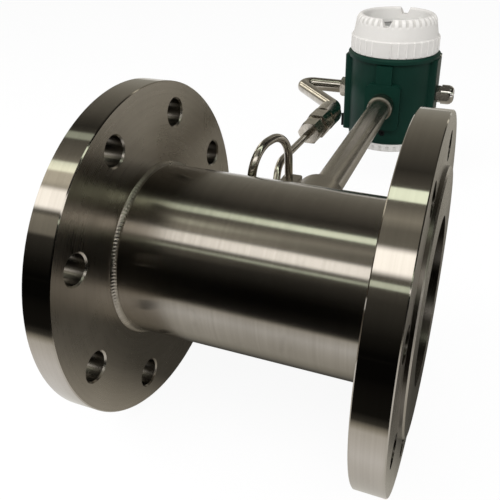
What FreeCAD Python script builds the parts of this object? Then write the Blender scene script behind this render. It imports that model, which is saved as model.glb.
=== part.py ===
import FreeCAD, Part
import math
import os
import Sketcher

# Flanged vortex flow meter, DN100, with a pressure line and an electronics head on a neck.
# X is the flow axis, from the inlet's bolting face; the neck points along +Y; Z is up.

# Driving dimensions in millimetres, angles in degrees
SIZES = {
    # flow body
    "pipe_bore": 100, "tube_wall": 6, "face_span": 194,
    "flange_od": 220, "flange_thick": 18, "raised_gap": 2, "raised_step": 3,
    "bolt_edge": 20, "bolt_hole": 18, "bolt_count": 8, "bolt_turn": 22.5,
    "edge_break": 0.6, "rim_chamfer": 1.5, "hole_chamfer": 1, "socket_deep": 6, "weld_leg": 3,
    # clearances
    "fit_gap": 0.05, "screw_gap": 0.3, "face_gap": 0.3,
    # bluff body
    "bar_width": 28, "bar_tail": 8, "bar_long": 35, "bar_lip": 3, "bar_ahead": 46,
    # sensor boss and probe, heights from the tube's outside
    "neck_shift": 1.5, "boss_od": 40, "boss_high": 48, "boss_bore": 16, "seat_high": 22,
    "probe_clear": 0.2, "paddle_long": 38, "paddle_wide": 12, "paddle_thick": 3,
    "shoulder_high": 5, "gasket_thick": 1, "probe_tip_od": 10, "probe_tip_long": 11,
    "clamp_high": 8, "lead_od": 4,
    # neck
    "neck_od": 23, "neck_wall": 2.5, "neck_sunk": 11, "neck_grip": 14,
    "collar_od": 26.6, "collar_long": 13,
    # pressure line
    "tap_wide": 15, "tap_high": 16, "tap_reach": 65, "tap_gap": 0.5, "tap_drill": 4, "tap_seat": 9,
    "limb_back": 8, "limb_side": 1.7, "line_od": 6.5, "line_wall": 1,
    # the line's loop: corners beside the first limb, off the tube and from the flow axis's height
    "loop_top": 48.7, "loop_low": -28.8, "loop_aside": 10.3, "loop_clear": 7.3, "loop_low_aside": 9.7,
    "loop_low_clear": 3.8, "loop_leave": 18, "loop_leave_far": 14, "loop_leave_low": -22.2,
    "loop_bend": 24, "loop_foot_bend": 22, "loop_wide_bend": 30, "loop_join": 39,
    # pressure sensor on its own axis, distances from the bend behind it
    "bend_side": 46.2, "bend_back": 76, "lean": 2.55,
    "sleeve_start": 15, "sleeve_od": 25, "sleeve_long": 25, "sleeve_wall": 2.5, "spigot_long": 8,
    "conduit_seat": 14,
    "hex_flats": 23, "hex_long": 21, "nose_od": 14, "nose_long": 10,
    "nut_flats": 20, "nut_long": 21, "ferrule_od": 11, "ferrule_long": 4,
    "conduit_od": 15, "conduit_wall": 1, "conduit_reach": 64, "conduit_bend": 10,
    "conduit_knee": 16, "conduit_entry": 9, "conduit_flats": 20.4, "conduit_nut_long": 8,
    "cable_od": 3,
    # electronics head: a barrel, how far its other rounds stand off it, heights from the neck axis
    "head_reach": 329, "barrel_od": 96.6, "pad_proud": 2.9, "pad_wide": 40, "pad_round": 3,
    "lip_proud": 2.7, "lip_high": 6.2, "head_top": 48.7, "head_low": 47.7, "foot_inset": 1.3,
    "foot_high": 3.7, "neck_pad_half": 19, "neck_pad_low": 28, "neck_pad_high": 22,
    "neck_pad_proud": 5.7, "neck_pad_round": 6, "spine_half": 8.5, "spine_proud": 4.2, "spine_drop": 0.5,
    "front_wall": 3, "rear_shell": 4, "thread_deep": 10.5, "room_wall": 6.3,
    "web_low": 14, "web_high": 18, "post_od": 7, "post_inset": 7, "post_high": 6, "post_count": 4,
    # front cover, each step inwards from the one before
    "cover_inset": 0.3, "cover_band": 17, "shelf_step": 1.6, "cover_taper": 2.4, "taper_high": 14,
    "crown_high": 8, "crown_step": 1.2, "rim_wide": 6.3, "recess_taper": 3, "window_deep": 16,
    "ledge_thick": 3, "window_lap": 2.5, "window_thick": 4, "ring_thick": 3, "ring_wide": 5,
    "ring_room": 2, "skirt_long": 9.5, "skirt_wall": 3.5,
    "rib_count": 34, "rib_sweep": 336, "rib_wide": 1.4, "rib_proud": 0.7, "rib_turn": 274.6,
    "flute_count": 36, "flute_od": 4.4, "flute_out": 0.1,
    "notch_wide": 11, "notch_deep": 8, "notch_turn": 86, "notch_count": 2,
    # rear cover
    "rear_high": 10.2, "rear_taper": 4, "rear_lip": 2.6, "rear_wall": 3,
    "lobe_count": 36, "lobe_od": 5, "lobe_out": 1.3,
    # cover seals
    "seal_thick": 1.2, "seal_low": 1.6,
    # inside the head
    "board_gap": 4, "board_thick": 1.6, "display_gap": 9, "display_sunk": 0.7, "display_thick": 10,
    "frame_thick": 1.5, "frame_wide": 11, "pillar_od": 6, "pillar_inset": 5,
    "lcd_long": 42, "lcd_high": 24, "lcd_thick": 1.5,
    "block_long": 54, "block_wide": 18, "block_high": 18, "block_back": 7, "ways": 6, "way_pitch": 8.4,
    "way_od": 5, "way_deep": 8,
    # cable gland
    "gland_z": 2, "gland_thread": 16, "gland_reach": 9, "gland_flats": 17, "gland_hex": 5.5,
    "gland_male": 7, "gland_male_od": 15, "gland_bore": 11, "insert_bore": 8, "insert_long": 11,
    "insert_start": 2.2,
    "gland_nut_od": 21.8, "gland_nut_flats": 20, "gland_nut_long": 13.5, "gland_mouth": 10.5,
    "gland_dome": 6, "washer_thick": 1,
    # small hardware
    "ground_y": -10, "ground_z": -35, "ground_wide": 12, "ground_high": 15, "ground_plate": 1.2,
    "ground_turnup": 3, "ground_deep": 4, "ground_screw_od": 5, "ground_head_od": 8.5, "ground_head": 2.4,
    "lock_od": 2, "lock_head_od": 3, "lock_head": 1.4, "lock_deep": 4,
    "plug_x": 1, "plug_z": -34, "plug_od": 7, "plug_long": 4.6, "plug_sunk": 1.2,
}

DOC = FreeCAD.newDocument("vortex_flow_meter")
SHEET = DOC.addObject("Spreadsheet::Sheet", "Sizes")


class Size:
    """A number that also knows the expression that makes it from the sheet's cells."""

    def __init__(self, value, text):
        self.value = value
        self.text = text

    def joined(self, sign, other, value):
        return Size(value, "({} {} {})".format(self.text, sign, other.text))

    def __add__(self, other):
        other = sized(other)
        return self.joined("+", other, self.value + other.value)

    def __sub__(self, other):
        other = sized(other)
        return self.joined("-", other, self.value - other.value)

    def __mul__(self, other):
        other = sized(other)
        return self.joined("*", other, self.value * other.value)

    def __truediv__(self, other):
        other = sized(other)
        return self.joined("/", other, self.value / other.value)

    def __neg__(self):
        return Size(-self.value, "(-{})".format(self.text))


def sized(number):
    """A plain number as a Size."""
    if isinstance(number, Size):
        return number
    return Size(float(number), str(number))


class Cells:
    """The sheet's cells by name."""

    def __init__(self, sizes):
        for row, (name, number) in enumerate(sizes.items(), start=1):
            SHEET.set("A{}".format(row), name)
            SHEET.set("B{}".format(row), str(number))
            SHEET.setAlias("B{}".format(row), name)
            setattr(self, name, Size(float(number), "Sizes." + name))


d = Cells(SIZES)
DOC.recompute()

ZERO = sized(0)
ALONG_X = FreeCAD.Rotation(FreeCAD.Vector(0, 0, 1), FreeCAD.Vector(1, 0, 0))
AGAINST_X = FreeCAD.Rotation(FreeCAD.Vector(0, 0, 1), FreeCAD.Vector(-1, 0, 0))
ALONG_Y = FreeCAD.Rotation(FreeCAD.Vector(1, 0, 0), -90)
UPRIGHT = FreeCAD.Rotation()
UPSIDE_DOWN = FreeCAD.Rotation(FreeCAD.Vector(1, 0, 0), 180)

# places and radii that several pieces share
bore_r = d.pipe_bore / 2
tube_r = bore_r + d.tube_wall
bolt_r = d.flange_od / 2 - d.bolt_edge
neck_x = d.face_span / 2 + d.neck_shift
boss_top = tube_r + d.boss_high
boss_seat = tube_r + d.seat_high
probe_seat = boss_seat + d.gasket_thick
probe_top = probe_seat + d.shoulder_high + d.probe_tip_long
tap_x = neck_x - d.boss_od / 2 - d.tap_gap - d.tap_wide / 2
tap_top = tube_r + d.tap_reach
tap_y = tap_top - d.limb_back
head_y = tube_r + d.head_reach
barrel_r = d.barrel_od / 2
pad_r = barrel_r + d.pad_proud
lip_r = barrel_r + d.lip_proud
foot_r = barrel_r - d.foot_inset
front_thread_r = barrel_r - d.front_wall
rear_thread_r = barrel_r - d.rear_shell
room_r = barrel_r - d.room_wall
lip_start = d.head_top - d.lip_high
lip_middle = (lip_start + d.head_top - d.hole_chamfer) / 2
foot_step = d.head_low - d.foot_high
collar_end = head_y - barrel_r - d.neck_pad_proud
cover_seat = d.head_top + d.face_gap
rear_seat = d.head_low + d.face_gap
board_low = d.web_high + d.post_high
board_r = room_r - d.board_gap
display_r = room_r - d.display_gap
display_low = d.head_top - d.display_sunk
block_front = head_y + d.block_back - d.block_wide / 2
left_pad = neck_x - pad_r
right_pad = neck_x + pad_r

# the front cover's steps, inwards and upwards
cover_r = barrel_r - d.cover_inset
shelf_r = cover_r - d.shelf_step
crown_r = shelf_r - d.cover_taper
rim_r = crown_r - d.crown_step
recess_r = rim_r - d.rim_wide
opening_r = recess_r - d.recess_taper
window_r = opening_r + d.window_lap
crown_z = d.cover_band + d.taper_high
cover_high = crown_z + d.crown_high
window_z = cover_high - d.window_deep


# Drawing helpers

def bind(item, name, size):
    """Set a property from a size and tie it to the sheet."""
    size = sized(size)
    setattr(item, name, size.value)
    item.setExpression(name, size.text)


def place(item, x, y, z, rotation=UPRIGHT):
    """Put an object at a place, each coordinate tied to the sheet."""
    spot = [sized(x), sized(y), sized(z)]
    base = FreeCAD.Vector(spot[0].value, spot[1].value, spot[2].value)
    item.Placement = FreeCAD.Placement(base, rotation)
    for letter, size in zip("xyz", spot):
        item.setExpression("Placement.Base." + letter, size.text)
    return item


def new_body(label):
    item = DOC.addObject("PartDesign::Body", label)
    item.Label = label
    return item


def new_sketch(body, role, name, lift=ZERO, spin=ZERO):
    """A sketch on one of the body's own origin planes, lifted along its normal and turned about it."""
    sketch = body.newObject("Sketcher::SketchObject", name)
    for plane in body.Origin.OriginFeatures:
        if plane.Role == role:
            sketch.AttachmentSupport = [(plane, "")]
    sketch.MapMode = "FlatFace"
    lift = sized(lift)
    turn = FreeCAD.Rotation(FreeCAD.Vector(0, 0, 1), spin.value)
    sketch.AttachmentOffset = FreeCAD.Placement(FreeCAD.Vector(0, 0, lift.value), turn)
    sketch.setExpression("AttachmentOffset.Base.z", lift.text)
    return sketch


def tie_point(sketch, edge, end, across, up):
    """Fix a point of the sketch by its distances from the sketch's axes."""
    for kind, axis, size in (("DistanceX", -2, sized(across)), ("DistanceY", -1, sized(up))):
        if size.value == 0:
            sketch.addConstraint(Sketcher.Constraint("PointOnObject", edge, end, axis))
        else:
            index = sketch.addConstraint(Sketcher.Constraint(kind, -1, 1, edge, end, size.value))
            sketch.setExpression("Constraints[{}]".format(index), size.text)


def draw_outline(sketch, points):
    """A closed outline of straight edges through the points."""
    count = len(points)
    corners = []
    for across, up in points:
        corners.append(FreeCAD.Vector(sized(across).value, sized(up).value, 0))
    for i in range(count):
        sketch.addGeometry(Part.LineSegment(corners[i], corners[(i + 1) % count]), False)
    for i in range(count):
        sketch.addConstraint(Sketcher.Constraint("Coincident", i, 2, (i + 1) % count, 1))
    for i, (across, up) in enumerate(points):
        tie_point(sketch, i, 1, across, up)


def draw_circle(sketch, across, up, width):
    """A circle by its centre and diameter."""
    across = sized(across)
    up = sized(up)
    middle = FreeCAD.Vector(across.value, up.value, 0)
    index = sketch.addGeometry(Part.Circle(middle, FreeCAD.Vector(0, 0, 1), width.value / 2), False)
    tie_point(sketch, index, 3, across, up)
    row = sketch.addConstraint(Sketcher.Constraint("Diameter", index, width.value))
    sketch.setExpression("Constraints[{}]".format(row), width.text)


def revolve(body, name, points, kind="PartDesign::Revolution"):
    """Turn an outline of (radius, height) points about the body's Z axis."""
    sketch = new_sketch(body, "XZ_Plane", name + "_outline")
    draw_outline(sketch, points)
    turn = body.newObject(kind, name)
    turn.Profile = sketch
    turn.ReferenceAxis = (sketch, ["V_Axis"])
    turn.Angle = 360
    body.Tip = turn
    return turn


def turned(label, points):
    """A turned piece as a body of its own."""
    body = new_body(label)
    revolve(body, label + "_turn", points)
    return body


def extrude(body, name, sketch, length, kind="PartDesign::Pad", backwards=False):
    """Pad or pocket a sketch by a length."""
    feature = body.newObject(kind, name)
    feature.Profile = sketch
    bind(feature, "Length", length)
    feature.Reversed = backwards
    body.Tip = feature
    return feature


def ring_of(body, name, feature, count, sweep=sized(360)):
    """Repeat a feature around the body's Z axis."""
    pattern = body.newObject("PartDesign::PolarPattern", name)
    pattern.Originals = [feature]
    for axis in body.Origin.OriginFeatures:
        if axis.Role == "Z_Axis":
            pattern.Axis = (axis, [""])
    pattern.Angle = sweep.value
    pattern.setExpression("Angle", sweep.text)
    pattern.Occurrences = int(count.value)
    pattern.setExpression("Occurrences", count.text)
    body.Tip = pattern
    return pattern


def edges_where(shape, test):
    """Names of the edges that pass a test."""
    return ["Edge{}".format(i) for i, edge in enumerate(shape.Edges, start=1) if test(edge)]


def dress(body, name, kind, feature, test, size):
    """Chamfer or fillet the edges of a feature that pass a test."""
    DOC.recompute()
    names = edges_where(feature.Shape, test)
    item = body.newObject(kind, name)
    item.Base = (feature, names)
    bind(item, "Size" if kind == "PartDesign::Chamfer" else "Radius", size)
    body.Tip = item
    return item


def cylinder(name, radius, length, x, y, z, rotation=UPRIGHT):
    item = DOC.addObject("Part::Cylinder", name)
    bind(item, "Radius", radius)
    bind(item, "Height", length)
    return place(item, x, y, z, rotation)


def block(name, long, wide, high, x, y, z, rotation=UPRIGHT):
    """A box with its lowest corner at the place."""
    item = DOC.addObject("Part::Box", name)
    bind(item, "Length", long)
    bind(item, "Width", wide)
    bind(item, "Height", high)
    return place(item, x, y, z, rotation)


def hexagon(name, flats, length, x, y, z, rotation=UPRIGHT):
    """A hexagonal prism by its width over the flats."""
    item = DOC.addObject("Part::Prism", name)
    item.Polygon = 6
    bind(item, "Circumradius", flats / math.sqrt(3))
    bind(item, "Height", length)
    return place(item, x, y, z, rotation)


def combined(kind, label, base, tools):
    """The base with the tools cut away, fused on, or kept in common."""
    tool = tools[0]
    if len(tools) > 1:
        tool = DOC.addObject("Part::MultiFuse", label + "_tools")
        tool.Shapes = tools
    item = DOC.addObject(kind, label)
    item.Base = base
    item.Tool = tool
    item.Label = label
    return item


def cut(label, base, tools):
    return combined("Part::Cut", label, base, tools)


def fuse(label, pieces):
    item = DOC.addObject("Part::MultiFuse", label)
    item.Shapes = pieces
    item.Label = label
    return item


def group(label, pieces):
    """Equal loose pieces that share one node."""
    item = DOC.addObject("Part::Compound", label)
    item.Links = pieces
    item.Label = label
    return item


def feature(label, shape):
    """A piece whose shape is worked out in code."""
    item = DOC.addObject("Part::Feature", label)
    item.Label = label
    item.Shape = shape
    return item


def rounded_path(points, radii):
    """Straight runs through the points, joined by arcs that touch both runs."""
    edges = []
    start = points[0]
    for i in range(1, len(points) - 1):
        corner = points[i]
        back = (points[i - 1] - corner).normalize()
        ahead = (points[i + 1] - corner).normalize()
        half = back.getAngle(ahead) / 2
        reach = radii[i - 1] / math.tan(half)
        middle = (back + ahead).normalize()
        enter = corner + back * reach
        leave = corner + ahead * reach
        crown = corner + middle * (radii[i - 1] / math.sin(half) - radii[i - 1])
        edges.append(Part.LineSegment(start, enter).toShape())
        edges.append(Part.Arc(enter, crown, leave).toShape())
        start = leave
    edges.append(Part.LineSegment(start, points[-1]).toShape())
    return Part.Wire(edges)


def swept(path, width):
    """A round rod along a path."""
    start = path.Edges[0].Vertexes[0].Point
    heading = path.Edges[0].tangentAt(path.Edges[0].FirstParameter)
    section = Part.Wire([Part.makeCircle(width / 2, start, heading)])
    return path.makePipeShell([section], True, False)


# Flow body

def flow_tube():
    """The measuring tube between the flange sockets, with its probe and tap holes."""
    start = d.flange_thick - d.socket_deep
    body = turned("tube_blank", [
        (bore_r, start), (tube_r, start), (tube_r, d.face_span - start), (bore_r, d.face_span - start)])
    place(body, ZERO, ZERO, ZERO, ALONG_X)
    probe_hole = cylinder("probe_hole", d.boss_bore / 2, tube_r * 2, neck_x, ZERO, ZERO, ALONG_Y)
    tap_hole = cylinder("tap_hole", d.tap_drill / 2, tube_r * 2, tap_x, ZERO, ZERO, ALONG_Y)
    return cut("flow_tube", body, [probe_hole, tap_hole])


def flange(label, x, rotation):
    """A plate flange: raised face, chamfered rim, socket for the tube, bolt holes broken on the nut side."""
    rim = d.flange_od / 2
    raised = bolt_r - d.bolt_hole / 2 - d.raised_gap
    socket = tube_r + d.fit_gap
    seat = d.flange_thick - d.socket_deep
    body = new_body(label)
    revolve(body, label + "_disc", [
        (bore_r, -d.raised_step), (raised - d.hole_chamfer, -d.raised_step),
        (raised, d.hole_chamfer - d.raised_step), (raised, ZERO),
        (rim - d.edge_break, ZERO), (rim, d.edge_break),
        (rim, d.flange_thick - d.edge_break), (rim - d.edge_break, d.flange_thick),
        (socket, d.flange_thick), (socket, seat), (bore_r, seat)])
    sketch = new_sketch(body, "XY_Plane", label + "_hole_outline")
    draw_circle(sketch, bolt_r, ZERO, d.bolt_hole)
    hole = extrude(body, label + "_hole", sketch, d.flange_thick, "PartDesign::Pocket", True)
    holes = ring_of(body, label + "_holes", hole, d.bolt_count)

    def is_hole_edge(edge):
        curve = edge.Curve
        if not isinstance(curve, Part.Circle) or edge.BoundBox.ZMin < seat.value:
            return False
        return abs(curve.Radius - d.bolt_hole.value / 2) < d.fit_gap.value

    dress(body, label + "_chamfers", "PartDesign::Chamfer", holes, is_hole_edge, d.hole_chamfer)
    spin = FreeCAD.Rotation(FreeCAD.Vector(0, 0, 1), d.bolt_turn.value)
    return place(body, x, ZERO, ZERO, rotation.multiply(spin))


def weld_ring(label, x, rotation):
    """The fillet weld round the tube, its root at the flange's inner face."""
    root = tube_r + d.fit_gap
    body = turned(label, [(root, ZERO), (root + d.weld_leg, ZERO), (root, d.weld_leg)])
    return place(body, x, ZERO, ZERO, rotation)


def shedder_bar():
    """The bluff body: a tapering bar across the bore, its broad face to the inlet."""
    body = new_body("bar_blank")
    sketch = new_sketch(body, "XZ_Plane", "bar_outline")
    half = d.bar_width / 2
    tail = d.bar_tail / 2
    draw_outline(sketch, [
        (ZERO, -half), (d.bar_lip, -half), (d.bar_long, -tail),
        (d.bar_long, tail), (d.bar_lip, half), (ZERO, half)])
    pad = extrude(body, "bar_pad", sketch, d.pipe_bore)
    pad.Midplane = True
    place(body, neck_x - d.bar_ahead, ZERO, ZERO)
    inside = cylinder("bar_room", bore_r - d.fit_gap, d.face_span, ZERO, ZERO, ZERO, ALONG_X)
    return combined("Part::Common", "shedder_bar", body, [inside])


def tube_saddle(name):
    """The tube's outside, as the tool that shapes what is welded on it."""
    return cylinder(name, tube_r + d.fit_gap, d.face_span, ZERO, ZERO, ZERO, ALONG_X)


def sensor_boss():
    """The tall round boss that holds the probe and carries the neck."""
    outer = d.boss_od / 2
    socket = d.neck_od / 2 + d.fit_gap
    body = turned("boss_blank", [
        (d.boss_bore / 2, bore_r), (outer, bore_r), (outer, boss_top - d.rim_chamfer),
        (outer - d.rim_chamfer, boss_top), (socket, boss_top), (socket, boss_seat),
        (d.boss_bore / 2, boss_seat)])
    place(body, neck_x, ZERO, ZERO, ALONG_Y)
    return cut("sensor_boss", body, [tube_saddle("boss_saddle")])


def tap_block():
    """The welded block that turns the pressure hole up into the line."""
    body = new_body("tap_blank")
    sketch = new_sketch(body, "XY_Plane", "tap_outline", bore_r)
    across = d.tap_wide / 2
    up = d.tap_high / 2
    draw_outline(sketch, [(-across, -up), (across, -up), (across, up), (-across, up)])
    pad = extrude(body, "tap_pad", sketch, tap_top - bore_r)

    def is_far_edge(edge):
        box = edge.BoundBox
        return abs(box.ZMax - tap_top.value) < d.fit_gap.value or box.ZLength > d.tap_wide.value

    dress(body, "tap_rounds", "PartDesign::Fillet", pad, is_far_edge, d.rim_chamfer)
    place(body, tap_x, ZERO, ZERO, ALONG_Y)
    drill = cylinder("tap_drilling", d.tap_drill / 2, tap_y, tap_x, ZERO, ZERO, ALONG_Y)
    seat_z = up - d.tap_seat
    socket = cylinder("tap_socket", d.line_od / 2 + d.fit_gap, d.tap_high,
                      tap_x - d.limb_side, tap_y, seat_z)
    return cut("tap_block", body, [tube_saddle("tap_saddle"), drill, socket])


# Vortex sensor

def vortex_probe():
    """The probe: a thin paddle in the flow, a stem, a shoulder and a tip for the wires."""
    stem = d.boss_bore / 2 - d.probe_clear
    shoulder = d.neck_od / 2 - d.probe_clear
    top = probe_seat + d.shoulder_high
    turn = turned("probe_turn", [
        (ZERO, bore_r), (stem, bore_r), (stem, probe_seat), (shoulder, probe_seat),
        (shoulder, top), (d.probe_tip_od / 2, top), (d.probe_tip_od / 2, probe_top), (ZERO, probe_top)])
    place(turn, neck_x, ZERO, ZERO, ALONG_Y)
    paddle = block("paddle", d.paddle_wide, d.paddle_long + d.gasket_thick, d.paddle_thick,
                   neck_x - d.paddle_wide / 2, bore_r - d.paddle_long, -d.paddle_thick / 2)
    return fuse("vortex_probe", [turn, paddle])


def probe_gasket():
    outer = d.neck_od / 2 - d.probe_clear
    inner = d.boss_bore / 2 + d.probe_clear
    ring = turned("probe_gasket", [
        (inner, boss_seat), (outer, boss_seat), (outer, probe_seat), (inner, probe_seat)])
    return place(ring, neck_x, ZERO, ZERO, ALONG_Y)


def probe_nut():
    """The threaded ring over the probe's shoulder."""
    outer = d.neck_od / 2 - d.fit_gap
    inner = d.probe_tip_od / 2 + d.probe_clear
    low = probe_seat + d.shoulder_high
    top = low + d.clamp_high
    ring = turned("probe_nut", [(inner, low), (outer, low), (outer, top), (inner, top)])
    return place(ring, neck_x, ZERO, ZERO, ALONG_Y)


def sensor_lead():
    """The probe's wires, straight up the neck to the terminal block."""
    return cylinder("sensor_lead", d.lead_od / 2, block_front - probe_top,
                    neck_x, probe_top, ZERO, ALONG_Y)


# Neck

def neck_tube():
    outer = d.neck_od / 2
    inner = outer - d.neck_wall
    low = boss_top - d.neck_sunk
    high = collar_end + d.neck_grip
    tube = turned("neck_tube", [(inner, low), (outer, low), (outer, high), (inner, high)])
    return place(tube, neck_x, ZERO, ZERO, ALONG_Y)


def neck_collar():
    """The lock ring on the neck, against the head's boss."""
    outer = d.collar_od / 2
    inner = d.neck_od / 2 + d.fit_gap
    bevel = d.hole_chamfer / 2
    ring = turned("neck_collar", [
        (inner + bevel, -d.collar_long), (outer - bevel, -d.collar_long),
        (outer, bevel - d.collar_long), (outer, ZERO), (inner, ZERO), (inner, bevel - d.collar_long)])
    return place(ring, neck_x, collar_end, ZERO, ALONG_Y)


# Pressure line. The sensor's pieces are turned about their own axis: it starts at the bend behind
# the sensor, leans a little off the neck's direction and runs towards the flow body.

LEAN = FreeCAD.Rotation(FreeCAD.Vector(0, 0, 1), -d.lean.value)
SENSOR_AXIS = LEAN.multiply(FreeCAD.Rotation(FreeCAD.Vector(1, 0, 0), 90))

bend_x = neck_x - d.bend_side
bend_y = head_y - d.bend_back
sleeve_end = d.sleeve_start + d.sleeve_long
hex_end = sleeve_end + d.hex_long
nose_end = hex_end + d.nose_long
ferrule_end = nose_end + d.ferrule_long
nut_end = hex_end + d.nut_long


def on_sensor_axis(item):
    return place(item, bend_x, bend_y, ZERO, SENSOR_AXIS)


def axis_point(distance):
    """The place on the sensor's axis at a distance from the bend."""
    base = FreeCAD.Vector(bend_x.value, bend_y.value, 0)
    return base + SENSOR_AXIS.multVec(FreeCAD.Vector(0, 0, distance.value))


def hexagon_body(label, flats, low, high):
    """A hexagonal prism with its corners turned off at both ends."""
    body = new_body(label)
    side = flats / 2
    corner = flats / math.sqrt(3)
    sketch = new_sketch(body, "XY_Plane", label + "_flats", low)
    draw_outline(sketch, [
        (corner / 2, side), (-corner / 2, side), (-corner, ZERO),
        (-corner / 2, -side), (corner / 2, -side), (corner, ZERO)])
    extrude(body, label + "_prism", sketch, high - low)
    bevel = corner - side
    tall = bevel / 2
    for name, end, inward in (("low", low, tall), ("high", high, -tall)):
        revolve(body, label + "_bevel_" + name, [
            (side, end), (corner + bevel, end - inward * 2), (corner + bevel, end + inward * 2)],
            "PartDesign::Groove")
    return body


def line_points():
    """Up from the tap block, once round the loop, then straight into the sensor."""
    side = tap_x - d.limb_side
    corners = [
        (side, tap_y, d.tap_high / 2 - d.tap_seat),
        (side, tap_y, d.loop_top),
        (side - d.loop_aside, tube_r + d.loop_clear, d.loop_top),
        (side - d.loop_low_aside, tube_r + d.loop_low_clear, d.loop_low),
        (side - d.loop_leave, tap_y + d.loop_leave_far, d.loop_leave_low)]
    points = [FreeCAD.Vector(x.value, y.value, z.value) for x, y, z in corners]
    return points + [axis_point(bend_y - tap_y - d.loop_join), axis_point(hex_end + d.fit_gap)]


def pigtail_tube():
    """The looped line, bent from seamless tube."""
    bends = [d.loop_bend.value] * 2 + [d.loop_foot_bend.value] + [d.loop_wide_bend.value] * 2
    path = rounded_path(line_points(), bends)
    outer = swept(path, d.line_od.value)
    inner = swept(path, d.line_od.value - 2 * d.line_wall.value)
    return feature("pigtail_tube", outer.cut(inner))


def compression_ferrule():
    inner = d.line_od / 2 + d.fit_gap
    ring = turned("compression_ferrule", [
        (inner, nose_end), (d.ferrule_od / 2, nose_end),
        (inner + d.line_wall, ferrule_end), (inner, ferrule_end)])
    return on_sensor_axis(ring)


def compression_nut():
    """The union nut over the sensor's nose and the ferrule."""
    body = hexagon_body("compression_nut", d.nut_flats, hex_end, nut_end)
    nose = d.nose_od / 2 + d.fit_gap
    line = d.line_od / 2 + d.fit_gap
    revolve(body, "nut_hollow", [
        (ZERO, hex_end), (nose, hex_end), (nose, ferrule_end), (line, ferrule_end + d.line_wall),
        (line, nut_end), (ZERO, nut_end)], "PartDesign::Groove")
    return on_sensor_axis(body)


def pressure_sensor():
    """The hexagonal sensor body: a spigot for the sleeve and a nose for the nut."""
    body = hexagon_body("pressure_sensor", d.hex_flats, sleeve_end, hex_end)
    spigot = d.sleeve_od / 2 - d.sleeve_wall - d.fit_gap
    line = d.line_od / 2 + d.fit_gap
    middle = (sleeve_end + hex_end) / 2
    revolve(body, "sensor_spigot", [
        (ZERO, sleeve_end - d.spigot_long), (spigot, sleeve_end - d.spigot_long),
        (spigot, middle), (ZERO, middle)])
    revolve(body, "sensor_nose", [
        (ZERO, middle), (d.nose_od / 2, middle), (d.nose_od / 2, nose_end), (ZERO, nose_end)])
    revolve(body, "sensor_socket", [
        (ZERO, hex_end), (line, hex_end), (line, nose_end), (ZERO, nose_end)], "PartDesign::Groove")
    return on_sensor_axis(body)


def sensor_sleeve():
    """The round sleeve over the spigot, closed round the conduit at its other end."""
    outer = d.sleeve_od / 2
    inner = outer - d.sleeve_wall
    throat = d.conduit_od / 2 + d.fit_gap
    deep = d.sleeve_start + d.conduit_seat
    ring = turned("sensor_sleeve", [
        (throat, d.sleeve_start), (outer - d.rim_chamfer, d.sleeve_start),
        (outer, d.sleeve_start + d.rim_chamfer), (outer, sleeve_end), (inner, sleeve_end),
        (inner, deep), (throat, deep)])
    return on_sensor_axis(ring)


def conduit_path(seat, entry):
    """From inside the sleeve, round the two bends, to a place inside the head."""
    corner = FreeCAD.Vector(left_pad.value - d.conduit_reach.value, head_y.value, 0)
    knee = axis_point(ZERO)
    inside = FreeCAD.Vector(left_pad.value + entry.value, head_y.value, 0)
    bends = [d.conduit_knee.value, d.conduit_bend.value]
    return rounded_path([axis_point(seat), knee, corner, inside], bends)


def conduit_tube():
    path = conduit_path(d.sleeve_start + d.conduit_seat, d.conduit_entry)
    outer = swept(path, d.conduit_od.value)
    inner = swept(path, d.conduit_od.value - 2 * d.conduit_wall.value)
    return feature("conduit_tube", outer.cut(inner))


def pressure_lead():
    """The pressure sensor's wires, along the middle of the conduit to the terminal block."""
    block_side = pad_r - d.block_long / 2
    path = conduit_path(sleeve_end - d.spigot_long, block_side)
    return feature("pressure_lead", swept(path, d.cable_od.value))


def conduit_nut():
    body = hexagon_body("conduit_nut", d.conduit_flats, ZERO, d.conduit_nut_long)
    bore = d.conduit_od / 2 + d.fit_gap
    revolve(body, "conduit_nut_bore", [
        (ZERO, ZERO), (bore, ZERO), (bore, d.conduit_nut_long), (ZERO, d.conduit_nut_long)],
        "PartDesign::Groove")
    return place(body, left_pad, head_y, ZERO, AGAINST_X)


# Electronics head, turned about its own upright axis

def at_head(item, height=ZERO, rotation=UPRIGHT):
    return place(item, neck_x, head_y, height, rotation)


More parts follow.
